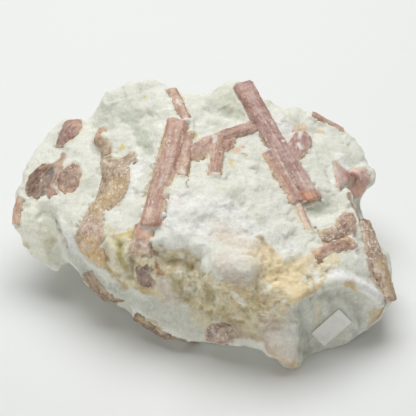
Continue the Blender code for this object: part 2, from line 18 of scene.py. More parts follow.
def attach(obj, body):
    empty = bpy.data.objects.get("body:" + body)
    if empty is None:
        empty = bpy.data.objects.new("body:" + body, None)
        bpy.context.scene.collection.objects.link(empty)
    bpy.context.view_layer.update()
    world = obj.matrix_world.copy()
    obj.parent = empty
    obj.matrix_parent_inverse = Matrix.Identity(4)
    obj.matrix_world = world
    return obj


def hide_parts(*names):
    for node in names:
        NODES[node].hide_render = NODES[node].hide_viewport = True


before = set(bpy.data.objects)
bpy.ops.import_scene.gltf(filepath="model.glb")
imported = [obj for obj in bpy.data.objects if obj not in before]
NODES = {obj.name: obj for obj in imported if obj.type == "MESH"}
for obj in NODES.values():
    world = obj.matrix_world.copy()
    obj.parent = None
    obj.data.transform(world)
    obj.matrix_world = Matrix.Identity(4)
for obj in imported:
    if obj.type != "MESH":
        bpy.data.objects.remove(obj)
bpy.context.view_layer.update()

MM = 0.001
MERGE_DISTANCE = 0.001
TINY = 1e-9
SHARPEST_CORNER = 2

# Blender takes the seed of noise_vector from the clock unless it is given one. The other noises are moved by
# their own seeds times these steps.
NOISE_SEED = 2
SEED_STEPS = (17.3, 5.9, 11.1)
FACE_SEED_STEPS = (7.7, 3.1, 9.3)
NOISE_FALLOFF = 0.8
NOISE_GAIN = 2.0
noise.seed_set(NOISE_SEED)

# The camera, as the photograph was taken.
PHOTO_SIZE = 416
FOCAL_PIXELS = 1296
SENSOR_WIDTH = 36
CAMERA_TARGET = Vector((2.3, 5.28, 25))
CAMERA_DISTANCE = 480
CAMERA_ELEVATION = math.radians(38)

# Colours as linear red, green and blue.
PALE_STONE = (0.82, 0.82, 0.742)
# Grey of the stone's mottling, also used as painted shade over the knob and the saddle.
GREY_STONE_AND_SHADE = (0.74, 0.745, 0.65)
# Snow white of the stone and grit, also used as painted light and painted highlights.
SNOW_AND_PAINTED_LIGHT = (0.90, 0.90, 0.87)
# Blue grey: painted shade in the hollow, and the colour of the blue grey ridge.
BLUE_GREY_AND_SHADE = (0.69, 0.70, 0.625)
# Deep grey for painted shade in the hollow.
DEEP_SHADE_GREY = (0.49, 0.49, 0.42)
# Greenish grey used as painted shade: dips by the knob, the lobe's shaded side, the hollow under the right
# prism's end.
SHADE_GREEN_GREY = (0.52, 0.55, 0.45)
CREAM = (0.80, 0.71, 0.50)
PEACH = (0.76, 0.63, 0.50)
BLUSH = (0.78, 0.705, 0.63)
PALE_TAN = (0.80, 0.665, 0.42)
LEMON = (0.80, 0.69, 0.20)
TAN = (0.72, 0.57, 0.36)
OCHRE = (0.56, 0.43, 0.22)
OLIVE = (0.42, 0.36, 0.19)
DEEP_OLIVE = (0.24, 0.20, 0.08)
ORANGE = (0.62, 0.34, 0.20)
RUST = (0.44, 0.20, 0.11)
BROWN = (0.27, 0.19, 0.13)
MAROON = (0.32, 0.125, 0.095)
ROSE = (0.55, 0.325, 0.25)
MAUVE = (0.42, 0.255, 0.215)
WINE = (0.20, 0.098, 0.062)
BROWN_PINK = (0.38, 0.235, 0.17)
DUSTY = (0.50, 0.395, 0.275)
RIB_SHADE = (0.70, 0.60, 0.56)
RIB_LIGHT = (0.84, 0.70, 0.59)
FLECK = (0.88, 0.76, 0.66)
GRIT = (0.88, 0.79, 0.68)
PAPER_WHITE = (0.94, 0.94, 0.91)
PAPER_SHADE = (0.87, 0.87, 0.83)
PAPER_STAIN = (0.66, 0.62, 0.52)

# ---------------------------------------------------------------------------------------------------------
# Places on the specimen
# ---------------------------------------------------------------------------------------------------------


def camera_place():
    back = Vector((0, -math.cos(CAMERA_ELEVATION), math.sin(CAMERA_ELEVATION)))
    return CAMERA_TARGET + back * CAMERA_DISTANCE


def camera_axes():
    ahead = (CAMERA_TARGET - camera_place()).normalized()
    right = ahead.cross(Vector((0, 0, 1))).normalized()
    return right, right.cross(ahead), ahead


def tree_of(nodes):
    """One search tree over several nodes, in millimetres."""
    corners, faces = [], []
    for node in nodes:
        first = len(corners)
        corners += [vertex.co / MM for vertex in node.data.vertices]
        faces += [[first + index for index in face.vertices] for face in node.data.polygons]
    return BVHTree.FromPolygons(corners, faces)


WHOLE_PART = tree_of(NODES.values())


def seen_at(pixel):
    """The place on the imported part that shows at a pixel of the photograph, or None beside the part."""
    right, up, ahead = camera_axes()
    middle = PHOTO_SIZE / 2
    ray = ahead * FOCAL_PIXELS + right * (pixel[0] - middle) + up * (middle - pixel[1])
    return WHOLE_PART.ray_cast(camera_place(), ray.normalized())[0]


def line_on_part(pixels):
    return [place for place in map(seen_at, pixels) if place is not None]


def distance_to_line(places, line):
    """How far each place is from a line through points, or from a single point."""
    nearest = np.full(len(places), np.inf)
    for start, end in zip(line, line[1:] or line):
        start, run = np.array(start), np.array(end - start)
        length = max(run @ run, TINY)
        along = np.clip((places - start) @ run / length, 0, 1)
        nearest = np.minimum(nearest, np.linalg.norm(places - start - along[:, None] * run, axis=1))
    return nearest


def smooth_step(values, low, high):
    share = np.clip((values - low) / (high - low), 0, 1)
    return share * share * (3 - 2 * share)


def seed_shift(seed, steps=SEED_STEPS):
    return Vector([seed * step for step in steps])


def noise_at(places, size, octaves=1, seed=0):
    """Noise whose forms are about size wide."""
    shift = seed_shift(seed)
    scaled = places / size
    if octaves == 1:
        return np.array([noise.noise(Vector(place) + shift) for place in scaled])
    return np.array([noise.fractal(Vector(place) + shift, NOISE_FALLOFF, NOISE_GAIN, octaves)
                     for place in scaled])


def relief_at(places, relief):
    """Noise from the size, octaves, seed and height of one of the reliefs below."""
    size, octaves, seed, height = relief
    return noise_at(places, size, octaves, seed) * height


def warped(places, wander):
    """The places, each pushed a little by noise of a size and a reach, so that the edges of marks wander."""
    size, reach = wander
    moves = np.array([noise.noise_vector(Vector(place)) for place in places / size])
    return places + moves * reach


# ---------------------------------------------------------------------------------------------------------
# Meshes
# ---------------------------------------------------------------------------------------------------------


def vertex_values(mesh, kind):
    flat = np.empty(len(mesh.vertices) * 3, np.float32)
    mesh.vertices.foreach_get(kind, flat)
    return flat.reshape(-1, 3).astype(float)


def places_of(mesh):
    return vertex_values(mesh, "co") / MM


def normals_of(mesh):
    return vertex_values(mesh, "normal")


def move_to(mesh, places):
    mesh.vertices.foreach_set("co", (places * MM).astype(np.float32).ravel())
    mesh.update()


def store(mesh, name, values):
    """Keeps one number, or one colour or direction, for each vertex."""
    kind, key = ("FLOAT", "value") if values.ndim == 1 else ("FLOAT_VECTOR", "vector")
    mesh.attributes.new(name, kind, "POINT").data.foreach_set(key, values.astype(np.float32).ravel())


def smooth_shaded(mesh):
    mesh.polygons.foreach_set("use_smooth", [True] * len(mesh.polygons))


def new_object(name, mesh):
    made = bpy.data.objects.new(name, mesh)
    bpy.context.scene.collection.objects.link(made)
    return made


def mesh_from(shape, name):
    """A mesh of a bmesh, which is freed."""
    mesh = bpy.data.meshes.new(name)
    shape.to_mesh(mesh)
    shape.free()
    return mesh


def as_modified(made):
    """The object's mesh as its modifiers leave it. They are taken off."""
    mesh = bpy.data.meshes.new_from_object(made.evaluated_get(bpy.context.evaluated_depsgraph_get()))
    made.modifiers.clear()
    return mesh


def grown(shape, node, reach, shift=Vector()):
    """Adds a node's mesh to a bmesh, each corner moved out by reach and all of it by shift."""
    copy = bmesh.new()
    copy.from_mesh(node.data)
    bmesh.ops.remove_doubles(copy, verts=copy.verts, dist=MERGE_DISTANCE * MM)
    copy.normal_update()
    steps = [vertex.normal * min(vertex.calc_shell_factor(), SHARPEST_CORNER) * reach * MM
             for vertex in copy.verts]
    for vertex, step in zip(copy.verts, steps):
        vertex.co += step + shift * MM
    mesh = mesh_from(copy, "grown")
    shape.from_mesh(mesh)
    bpy.data.meshes.remove(mesh)


def fine_mesh(name, shape, voxel, smoothing):
    """An even mesh over a closed bmesh, which may be of several overlapping bodies."""
    made = new_object(name, mesh_from(shape, name))
    remesh = made.modifiers.new("even", "REMESH")
    remesh.mode = "VOXEL"
    remesh.voxel_size = voxel * MM
    made.modifiers.new("soft", "SMOOTH").iterations = smoothing
    made.data = as_modified(made)
    return made


def broad_facing(made, rounds):
    """The directions that an object's surface faces once its small forms are smoothed away."""
    made.modifiers.new("broad", "SMOOTH").iterations = rounds
    broad = as_modified(made)
    facing = normals_of(broad)
    bpy.data.meshes.remove(broad)
    return facing


# ---------------------------------------------------------------------------------------------------------
# Marks: name, colour, pixels of the photograph, radius, strength
# ---------------------------------------------------------------------------------------------------------

STONE_MARKS = [
    # Painted shade: greenish grey at the upper left and in the dips under the knob, where shade falls.
    ("painted shade, upper left", SHADE_GREEN_GREY, [(108, 112), (116, 118), (126, 104)], 5, 0.45),
    ("painted shade in the dip under the knob", SHADE_GREEN_GREY, [(127, 115), (138, 126), (142, 139), (148, 151)], 2.6, 0.8),
    ("painted shade in a small dip", SHADE_GREEN_GREY, [(130, 146)], 1.2, 0.6),
    ("white knob", SNOW_AND_PAINTED_LIGHT, [(156, 88), (163, 96), (170, 107)], 4, 0.3),
    ("white streak by the prism", SNOW_AND_PAINTED_LIGHT, [(140, 160), (133, 178), (128, 192)], 2.5, 0.7),
    ("pink touch on the knob", BLUSH, [(141, 88), (142, 94)], 1, 0.5),
    # Partly painted shade: the greenish grey reaches into the crease under the bump's step, where shade
    # falls; the bump itself is greenish.
    ("greenish bump with painted shade under its step", (0.62, 0.64, 0.52), [(214, 98), (226, 106), (238, 114)], 4.0, 0.6),
    ("green of the bump", (0.60, 0.60, 0.44), [(218, 90), (230, 96), (230, 106)], 3.5, 0.4),
    # Painted shade: grey over the knob and the saddle, tops that the lamps light strongly.
    ("painted shade on the knob", GREY_STONE_AND_SHADE, [(116, 102), (134, 94), (148, 104)], 7, 0.5),
    ("painted shade on the saddle", GREY_STONE_AND_SHADE, [(190, 98), (208, 98)], 5, 0.5),
    ("white slope right of the prism", SNOW_AND_PAINTED_LIGHT, [(275, 117), (290, 126), (296, 150)], 3, 0.6),
    ("white mass", SNOW_AND_PAINTED_LIGHT, [(180, 205), (200, 214), (230, 216), (246, 228)], 7, 0.6),
    ("white mass, left", SNOW_AND_PAINTED_LIGHT, [(170, 225), (175, 240), (200, 238)], 5, 0.6),
    ("white shoulder", SNOW_AND_PAINTED_LIGHT, [(280, 240), (292, 250)], 5, 0.5),
    ("right rim", SNOW_AND_PAINTED_LIGHT, [(332, 272), (345, 276), (356, 281), (368, 289), (384, 299)], 2.6, 1.0),
    # Painted light over white stone: lightens the left mass's side, which faces away from the lamps.
    ("painted light on the left mass's rim", SNOW_AND_PAINTED_LIGHT, [(60, 226), (66, 238), (76, 248)], 2.5, 0.5),
    ("yellow dot, top left", LEMON, [(143.5, 97)], 0.55, 0.9),
    ("yellow spot, left", LEMON, [(120, 147), (124, 145)], 0.9, 0.75),
    ("yellow dot by the fork", LEMON, [(196, 134.6)], 1.1, 1.0),
    ("yellow dot, right", LEMON, [(289.5, 116)], 0.75, 0.9),
    ("orange dot, right", (0.72, 0.55, 0.30), [(318, 131.5), (322, 131.5)], 0.9, 1.0),
    ("orange above the ring crystal", (0.78, 0.60, 0.44), [(296, 129), (303, 127)], 1.4, 0.95),
    ("orange spot, middle", (0.68, 0.38, 0.24), [(243, 147), (246, 147)], 0.6, 1.0),
    ("orange patch, middle", (0.74, 0.55, 0.40), [(236.5, 150)], 1.7, 1.0),
    ("olive mark, middle", OCHRE, [(241, 155), (247, 155)], 0.5, 0.7),
    ("yellow mark, middle", (0.76, 0.62, 0.28), [(232, 160), (233, 167)], 0.8, 0.8),
    ("faint mark, middle", CREAM, [(222, 187), (226, 191)], 0.8, 0.6),
    ("streak right of the prism", CREAM, [(195, 167), (199, 168)], 0.5, 0.7),
    ("brown hook", BROWN, [(187, 180), (189, 187)], 0.45, 0.8),
    ("brown hook's foot", BROWN, [(189, 193), (190, 195)], 0.4, 0.6),
    ("pale pink by the prism", BLUSH, [(176, 196), (180, 204)], 2, 0.5),
    ("olive dot, left", LEMON, [(135, 199), (135.5, 202)], 0.7, 0.7),
    ("olive by the prism", OCHRE, [(152, 174), (149, 184), (145, 195)], 0.9, 0.75),
    ("fine streak, left", OCHRE, [(88, 193), (93, 200)], 0.4, 0.8),
    ("ochre left of the band", OCHRE, [(101, 153), (101, 166)], 0.6, 0.7),
    ("rose between the dark crystals", BROWN_PINK, [(52, 169), (58, 161), (64, 154)], 1.0, 0.85),
    ("brown beside the dark crystal", BROWN, [(56, 166), (61, 169)], 0.6, 0.8),
    # Painted highlight: a lit facet of the chip beside the dark crystal.
    ("painted highlight on a facet", SNOW_AND_PAINTED_LIGHT, [(67.5, 154), (68.5, 158)], 0.8, 1.0),
    ("rim over the dark crystal", OCHRE, [(37, 168), (46, 163), (52, 162)], 0.7, 0.8),
    ("orange below the dark crystal", ORANGE, [(35, 199), (37, 202)], 0.7, 0.6),
    ("yellow edge of the lobe", CREAM, [(24, 208), (20, 232)], 0.9, 0.5),
    ("ochre foot of the lobe", OCHRE, [(26, 246), (30, 254)], 1.0, 0.85),
    ("brown in the lobe", (0.50, 0.40, 0.26), [(45, 246), (53, 242)], 1.6, 0.55),
    ("bright grain of the lobe", SNOW_AND_PAINTED_LIGHT, [(41.6, 254)], 0.6, 0.9),
    # Painted light: lightens the lobe's front, which lies in shade.
    ("painted light on the lobe", (0.93, 0.93, 0.80), [(28, 222), (40, 240)], 9, 0.8),
    ("lobe's lower side", OLIVE, [(36, 258), (50, 264)], 3, 0.25),
    ("orange dot, left mass", ORANGE, [(73, 223)], 0.6, 0.6),
    ("cream of the upper scarp", (0.84, 0.80, 0.62),
     [(106, 226), (110, 234), (112, 246), (114, 262), (122, 276)], 1.8, 0.9),
    ("yellow olive under the mass", (0.62, 0.53, 0.22), [(116, 240), (124, 236), (134, 229)], 1.8, 0.8),
    ("olive streak, left", (0.48, 0.42, 0.18), [(119, 243), (121, 256), (125, 269)], 1.4, 0.85),
    ("cream streak, left", (0.84, 0.78, 0.58), [(126, 241), (127, 254)], 1.5, 0.85),
    ("brown left of the chunk", (0.35, 0.28, 0.15), [(129, 258), (130, 268), (129, 277)], 2.2, 0.65),
    ("brown by the chunk", BROWN, [(134, 256), (132, 264)], 1.1, 0.7),
    ("cream rib", CREAM, [(136, 258), (143, 262), (151, 268), (155, 286), (158, 297)], 1.3, 0.9),
    ("ochre under the chunk", OCHRE, [(142, 289), (150, 291)], 1.9, 0.85),
    ("ochre tail", OCHRE, [(108, 268), (113, 275), (125, 286)], 1.5, 0.7),
    ("brown mark under the mass", BROWN, [(159, 247), (163, 249), (168, 255)], 0.8, 0.85),
    ("ochre under the mass", OCHRE, [(164, 252), (172, 258)], 1.2, 0.6),
    ("rust blob", RUST, [(158, 267), (161, 272)], 1.5, 0.7),
    ("olive blob", OLIVE, [(163, 274), (170, 276)], 2.2, 0.45),
    ("yellow green edge", OCHRE, [(174, 252), (186, 252)], 1.6, 0.6),
    ("dark recess", DEEP_OLIVE, [(182, 259), (191, 265)], 1.8, 0.75),
    ("blue grey ridge", BLUE_GREY_AND_SHADE, [(195, 248), (200, 258), (203, 268)], 1.8, 0.8),
    ("pink patch", BLUSH, [(161, 283), (166, 293), (174, 299)], 2.8, 0.85),
    ("olive pool", OLIVE, [(176, 284), (180, 292), (186, 297)], 2.4, 0.65),
    ("brown slash", BROWN, [(176, 272), (184, 279), (192, 287)], 0.7, 0.4),
    ("olive slash", OLIVE, [(199, 270), (207, 284), (209, 297)], 2.0, 0.6),
    ("brown streak of the scarp", BROWN, [(205, 285), (209, 296)], 1.0, 0.35),
    ("olive over the scarp", OLIVE, [(186, 290), (205, 302), (225, 300)], 4.5, 0.2),
    ("ochre over the scarp", OCHRE, [(215, 285), (235, 290), (250, 290)], 4.5, 0.25),
    ("pink brown of the scarp", BROWN_PINK, [(228, 278), (238, 282)], 1.6, 0.55),
    ("ochre brown of the scarp", OCHRE, [(238, 288), (244, 294)], 2.2, 0.5),
    ("low ochre", CREAM, [(197, 320), (206, 324)], 2.0, 0.8),
    ("low scarp", (0.68, 0.60, 0.36), [(200, 312), (225, 312), (250, 312)], 5, 0.35),
    ("low brown", BROWN, [(231, 320), (238, 324)], 1.3, 0.6),
    ("mauve above the foot", BROWN_PINK, [(208, 327), (216, 330)], 1.2, 0.6),
    ("crumbs above the foot", OCHRE, [(225, 320), (236, 324), (246, 327)], 1.6, 0.6),
    ("tan chip over the dark crystal", (0.60, 0.41, 0.27), [(57, 166), (61, 162), (65, 157)], 1.3, 0.85),
    ("orange beside the dark crystal", (0.55, 0.37, 0.29), [(59, 168), (58, 176), (57, 184)], 1.6, 0.85),
    ("cream right of the foot", (0.72, 0.63, 0.44), [(238, 328), (249, 331), (257, 335)], 2.8, 0.7),
    # Painted shade: blue grey over the front faces under the scarp, which turn away from the lamps.
    ("painted shade under the scarp", (0.62, 0.63, 0.55), [(150, 305), (175, 318), (195, 328)], 5, 0.75),
    ("painted shade on the low strip", (0.56, 0.57, 0.50), [(70, 252), (85, 272), (105, 288), (128, 298)], 4, 0.7),
    ("peach slope", PEACH, [(222, 233), (234, 240), (248, 247), (258, 253)], 4.2, 0.6),
    ("white of the lump", (0.79, 0.74, 0.65), [(226, 257), (244, 260), (257, 268)], 3.6, 0.8),
    ("shade of the lump", (0.62, 0.55, 0.47), [(221, 262), (229, 272), (240, 281)], 3.2, 0.75),
    ("fold of the lump", (0.72, 0.66, 0.59), [(236, 264), (246, 272), (253, 275)], 1.1, 0.5),
    # Painted highlight on the white lump's ridge, where the light catches it.
    ("painted highlight on the lump's ridge", SNOW_AND_PAINTED_LIGHT, [(238, 256), (252, 262), (260, 269)], 0.8, 0.6),
    ("white streak of the band", SNOW_AND_PAINTED_LIGHT, [(259, 230), (263, 235)], 0.7, 0.9),
    ("olive head of the band", OCHRE, [(260, 236), (268, 246), (272, 251)], 0.9, 0.9),
    ("tan band", (0.84, 0.70, 0.45), [(266, 252), (275, 257), (283, 266)], 2.2, 0.85),
    ("tan zone", (0.93, 0.78, 0.51), [(257, 262), (268, 270), (280, 278)], 4.6, 0.85),
    ("ochre in the tan zone", OCHRE, [(254, 284), (264, 288)], 2.0, 0.45),
    ("pink spot of the tan zone", ORANGE, [(282, 289)], 1.2, 0.5),
    ("cream vein", CREAM, [(284, 264), (286, 284)], 0.8, 0.7),
    ("right tan zone", PALE_TAN, [(292, 268), (303, 262), (312, 262)], 3.0, 0.8),
    ("right tan zone, low", PALE_TAN, [(292, 280), (300, 288), (296, 298)], 3.4, 0.8),
    ("tan edge of the hollow", OCHRE, [(300, 296), (312, 290), (325, 284)], 1.3, 0.75),
    ("white streaks in the tan", SNOW_AND_PAINTED_LIGHT, [(311, 263), (316, 272), (318, 281)], 1.1, 0.75),
    ("pale yellow spot", CREAM, [(322, 265), (328, 263), (332, 260)], 2.4, 1.0),
    ("its yellow rim", OCHRE, [(326, 271), (333, 268)], 0.6, 0.7),
    ("yellow dot by the spot", LEMON, [(339, 260)], 0.7, 0.6),
    ("scarp foot", OCHRE, [(255, 300), (275, 308), (284, 318)], 3.4, 0.5),
    ("brown foot", BROWN_PINK, [(262, 317), (266, 320)], 1.3, 0.7),
    ("brown foot, right", BROWN_PINK, [(275, 322), (279, 323)], 1.2, 0.65),
    ("pink lump", BLUSH, [(272, 330), (278, 345), (285, 356)], 5, 0.7),
    ("brown side of the lump", BROWN_PINK, [(264, 336), (267, 346), (272, 353)], 1.3, 0.6),
    ("brown under the lump", TAN, [(272, 352), (282, 360), (296, 366)], 2.4, 0.7),
    ("orange under the lump", RUST, [(280, 361), (292, 366)], 0.9, 0.5),
    ("ochre bit on the rim", (0.64, 0.48, 0.22), [(348, 284), (353, 287.5), (359, 291)], 1.4, 2.0),
    # Painted shade: the cold blue grey of the hollow's faces, which turn away from the lamps.
    ("painted shade of the hollow", BLUE_GREY_AND_SHADE, [(300, 315), (315, 302), (335, 298), (352, 300)], 6, 0.85),
    ("painted shade of the hollow, low", BLUE_GREY_AND_SHADE, [(305, 335), (320, 340), (340, 338), (358, 322)], 6, 0.8),
    ("shade in the hollow", DEEP_SHADE_GREY, [(301, 307), (315, 299), (337, 296)], 2.6, 0.5),
    ("shade at the hollow's left", DEEP_SHADE_GREY, [(299, 318), (303, 334), (307, 350)], 2.0, 0.6),
    ("shade at the hollow's right", OLIVE, [(353, 293), (359, 303), (360, 313)], 1.6, 0.25),
    ("white rib in the hollow", SNOW_AND_PAINTED_LIGHT, [(325, 300), (326, 314)], 0.9, 0.8),
    ("pale left wall of the hollow", SNOW_AND_PAINTED_LIGHT, [(309, 312), (312, 326), (314, 340)], 1.8, 0.75),
    # Painted shade, lighter, just under the hollow's rim.
    ("lighter painted shade under the hollow's rim", BLUE_GREY_AND_SHADE, [(316, 297), (330, 292), (344, 293)], 1.4, 0.6),
    # Painted shade and painted light on the hollow's facets, darker where they turn from the lamps and
    # lighter where they turn toward them.
    ("painted shade on a facet of the hollow", DEEP_SHADE_GREY, [(331, 302), (334, 313)], 1.6, 0.45),
    ("painted light on a facet of the hollow", SNOW_AND_PAINTED_LIGHT, [(350, 314), (354, 326), (350, 334)], 2.2, 0.45),
    ("cream seam by the label", CREAM, [(340, 331), (344, 338)], 0.9, 0.6),
    ("white border of the hollow", SNOW_AND_PAINTED_LIGHT, [(364, 308), (367, 320), (360, 334)], 1.4, 0.6),
    ("ochre seam in the hollow", CREAM, [(319, 304), (318, 321)], 1.0, 0.8),
    ("brown seam in the hollow", BROWN, [(299, 332), (302, 350)], 0.9, 0.6),
    ("ochre edge, low right", (0.56, 0.41, 0.22), [(387, 302), (381, 312), (374, 322)], 1.5, 1.0),
    ("rust, low right", RUST, [(385, 307), (380, 316)], 0.8, 1.0),
    ("cream, low right", CREAM, [(374, 309), (371, 318)], 1.3, 0.8),
    ("brown border, low right", (0.42, 0.32, 0.19), [(380, 302), (377, 310)], 1.2, 0.6),
    ("white below the rim", SNOW_AND_PAINTED_LIGHT, [(371, 302), (377, 308)], 1.8, 0.7),
    ("ochre stain, low right", OCHRE, [(374, 312), (372, 320), (368, 328)], 1.0, 0.7),
    ("brown vein of the flank", (0.42, 0.30, 0.22),
     [(348, 194), (352, 202), (354.5, 208), (358, 215), (360.5, 220)], 0.9, 1.4),
    ("mauve by the low crystal", (0.50, 0.40, 0.35), [(353, 223), (355, 234)], 1.7, 0.9),
    ("edge band, outer", (0.60, 0.46, 0.32), [(376, 238), (384, 256), (389, 272), (391, 290)], 1.6, 0.75),
    ("edge band, inner", (0.52, 0.38, 0.28), [(369, 262), (375, 276), (381, 292)], 2.1, 0.85),
    ("fog over the cluster", SNOW_AND_PAINTED_LIGHT, [(339, 155), (345, 166)], 2.0, 0.6),
    ("shade of the lobe's crease", (0.30, 0.29, 0.22),
     [(52, 222), (57, 231), (60, 237), (62, 243)], 1.7, 1.0),
    # Painted light over white stone: lightens the corner of the left mass where it lies in shade.
    ("painted light on the mass's white corner", SNOW_AND_PAINTED_LIGHT, [(64, 236), (70, 242), (76, 248)], 1.6, 1.0),
    ("shaded side of the lobe", SHADE_GREEN_GREY, [(52, 252), (62, 258), (68, 263)], 3.5, 0.55),
    ("brown outer side, low left", (0.33, 0.23, 0.13),
     [(86, 280), (94, 293), (104, 301), (114, 301)], 2.0, 0.95),
    ("brown edge, low front", (0.30, 0.22, 0.14), [(166, 336), (180, 340), (196, 342)], 1.6, 1.0),
    ("ochre edge, low front", OCHRE, [(136, 316), (150, 321), (162, 328)], 0.9, 0.7),
    ("mauve right of the foot", (0.54, 0.41, 0.37), [(222, 330), (231, 333), (238, 334)], 1.7, 0.8),
    ("ochre right of the foot", (0.47, 0.36, 0.22), [(240, 335), (250, 337), (259, 339)], 1.0, 0.75),
    ("rosy edge of the cross prism", ROSE, [(232, 138), (240, 135), (249, 132)], 0.7, 0.8),
    # Painted light: lightens stone on the right flank that its own relief shades.
    ("painted light on the right flank", SNOW_AND_PAINTED_LIGHT, [(355, 246), (361, 262)], 2.6, 0.7),
    ("olive tinge, right", OLIVE, [(312, 138), (328, 150), (330, 166)], 4.0, 0.12),
    ("ochre line right of the cluster", CREAM, [(336, 198), (346, 209)], 0.5, 0.7),
    ("ochre line of the right edge", OCHRE, [(352, 240), (359, 256)], 0.5, 0.8),
    ("ochre rim of the right edge", OCHRE, [(384, 268), (390, 284), (393, 300)], 0.9, 0.8),
    # Painted shade: the hollow under the right prism's overhanging end.
    ("painted shade under the prism's end", SHADE_GREEN_GREY, [(316, 208), (326, 202)], 2.4, 0.4),
    ("olive dot under the prism", OLIVE, [(315, 218)], 0.8, 0.6),
    ("brown mark under the prism", BROWN, [(315, 228), (318, 233)], 0.8, 0.8),
    ("ochre by the brown mark", OCHRE, [(309, 230), (313, 233)], 1.0, 0.7),
]
# How a mark's edge softens and how far its colour spreads under its neighbours.
MARK_SOFTNESS = 0.45
LEAST_SOFTNESS = 0.25
MARK_CORE = 0.5
MARK_SPREAD = 1.6
MARK_FADE = 0.8
GROUND_WEIGHT = 1e-3

# ---------------------------------------------------------------------------------------------------------
# The feldspar
# ---------------------------------------------------------------------------------------------------------

# The fine mesh: its step, its rounds of smoothing, and the rounds that leave only the broad form.
STONE_VOXEL = 0.695
SMOOTHING = 5
BROAD_SMOOTHING = 40

# How far crystals are grown to close their pockets, and the low bank of stone round each.
GAP_CLOSED = 0.4
BANK_WIDTH = 1.2
BANK_TOP = 0.2
BANK_DROPS = {"right_prism": 1.0, "left_prism": 0.6}
BANK_NEIGHBOURS = (0.5, 5.0)

# How deep stone sinks beside a crystal's face, how near it, and when a place counts as over the face.
TUCK = 0.45
TUCK_REACH = 1.2
ABOVE_FACE = (0.6, 0.95)
FACING_WITH = (0.3, 0.6)
TOUCHING = 0.1

# Where forms fade out: round the label, over the base, behind a region and away from a crystal's rim.
LABEL_CLEAR = (4.4, 6.6)
CALM_BASE = (0.1, 2.5)
REGION_DEPTH = (14, 18)
RIM_REACH = (0.3, 1.6)

# How the edges of the scarp and of the marks wander: size, reach.
SCARP_WANDER = (5, 1.6)
TINT_WANDER = (3.2, 1.1)

# How rough the hollow, the scarp and the sides away from the camera are, and how weathered.
HOLLOW_CALM = 0.25
RAGGED_ROUGHER = 0.8
CALM_SMOOTHER = 0.6
AWAY = np.array((0, 0.9, -0.55))
AWAY_LEVELS = (0.05, 0.6)
AWAY_RAGGED = 0.45
WEATHER_LEVELS = (-0.2, 0.6)
KEPT_LEVELS = (0.04, 0.2)

# Forms of the skin: size, octaves, seed, height.
SWELL = (8.0, 3, 1, 0.5)
GRAIN = (1.35, 2, 3, 0.14)
PITS = (2.4, 2, 4, 1)
PIT_LEVEL = 0.15
PIT_DEPTH = 1.5
FIBRES = (1.5, 2, 5, 0.5)
WEATHERING = (20, 2, 6, 1)
KEPT_PATCHES = (2.5, 3, 10, 1)
HOLLOW_RIBS = (2.4, 3, 11, 1.1)
RIBS_IN_COLOUR = 0.5

# Faces of the broken rock: size, tilt, seed.
BROAD_FACES = (6.5, 0.17, 1)
SMALL_FACES = (2.8, 0.14, 2)
FACE_WANDER = 0.4
CELL_TO_SLOPE = 7.3

# Reliefs: name, pixels, radius, height.
RELIEFS = [
    ("knob dip", [(137, 122), (143, 134)], 3.0, -0.9),
    ("knob dip, low", [(147, 148), (150, 154)], 2.0, -0.6),
    ("crease of the lobe", [(43, 211), (50, 222), (57, 230), (61, 240)], 2.2, -2.4),
    ("lower crease of the lobe", [(61, 240), (64, 250)], 2.0, -1.2),
    ("side of the left mass", [(60, 222), (66, 238), (76, 250)], 1.8, 0.7),
    ("ledge of the white mass", [(152, 244), (163, 245), (178, 247), (194, 247)], 1.6, 0.9),
    ("groove under the ledge", [(156, 252), (168, 257), (180, 260), (192, 266)], 2.0, -1.6),
    ("white ridge", [(195, 246), (203, 268)], 1.6, 0.9),
    ("recess", [(182, 259), (191, 265)], 2.6, -1.4),
    ("cream rib", [(143, 260), (152, 272), (156, 290)], 1.4, 0.8),
    ("groove by the rib", [(160, 266), (164, 280), (163, 290)], 1.3, -0.9),
    ("olive groove", [(172, 272), (184, 283), (194, 290)], 1.4, -0.8),
    ("step of the scarp", [(196, 302), (214, 306), (232, 300), (250, 302)], 1.5, 0.8),
    ("under the step", [(196, 308), (214, 312), (232, 308), (250, 309)], 1.5, -0.8),
    ("rim", [(330, 282), (345, 279), (366, 289), (382, 301)], 1.8, 1.2),
    ("shelf over the hollow", [(296, 299), (312, 290), (326, 284)], 1.6, 1.2),
    ("under the rim", [(301, 306), (314, 298), (331, 292), (349, 294), (360, 301)], 2.6, -1.4),
    ("seam in the hollow", [(313, 305), (314, 325)], 1.3, -1.1),
    ("rib in the hollow", [(326, 300), (327, 318)], 1.5, 0.9),
    ("second seam in the hollow", [(334, 296), (334, 308)], 1.2, -1.0),
    ("rib of the hollow, right", [(345, 300), (352, 312), (356, 322)], 1.8, 0.8),
    ("seam by the lump", [(299, 328), (302, 350)], 1.5, -1.4),
    ("fold of the right flank", [(352, 200), (360, 216)], 1.0, -0.6),
    ("flank under the cluster", [(366, 196), (363, 203), (361, 209)], 3.2, -2.8),
    ("stone right of the cluster", [(371, 173), (372, 181)], 2.0, 1.0),
]

# Blocks with edges: name, outline pixels, softness of the edge, height.
BLOCKS = [
    ("white lump",
     [(217, 264), (234, 258), (251, 258), (261, 264), (254, 280), (239, 283), (216, 275)], 1.0, 0.8),
    ("upper lump", [(226, 240), (244, 236), (256, 246), (258, 256), (240, 256), (224, 250)], 0.9, 0.7),
    ("pink lump",
     [(262, 331), (284, 328), (294, 335), (296, 352), (291, 361), (280, 356), (268, 343)], 0.7, 0.8),
    ("left shoulder", [(109, 255), (118, 252), (122, 270), (112, 272)], 0.8, 0.6),
]

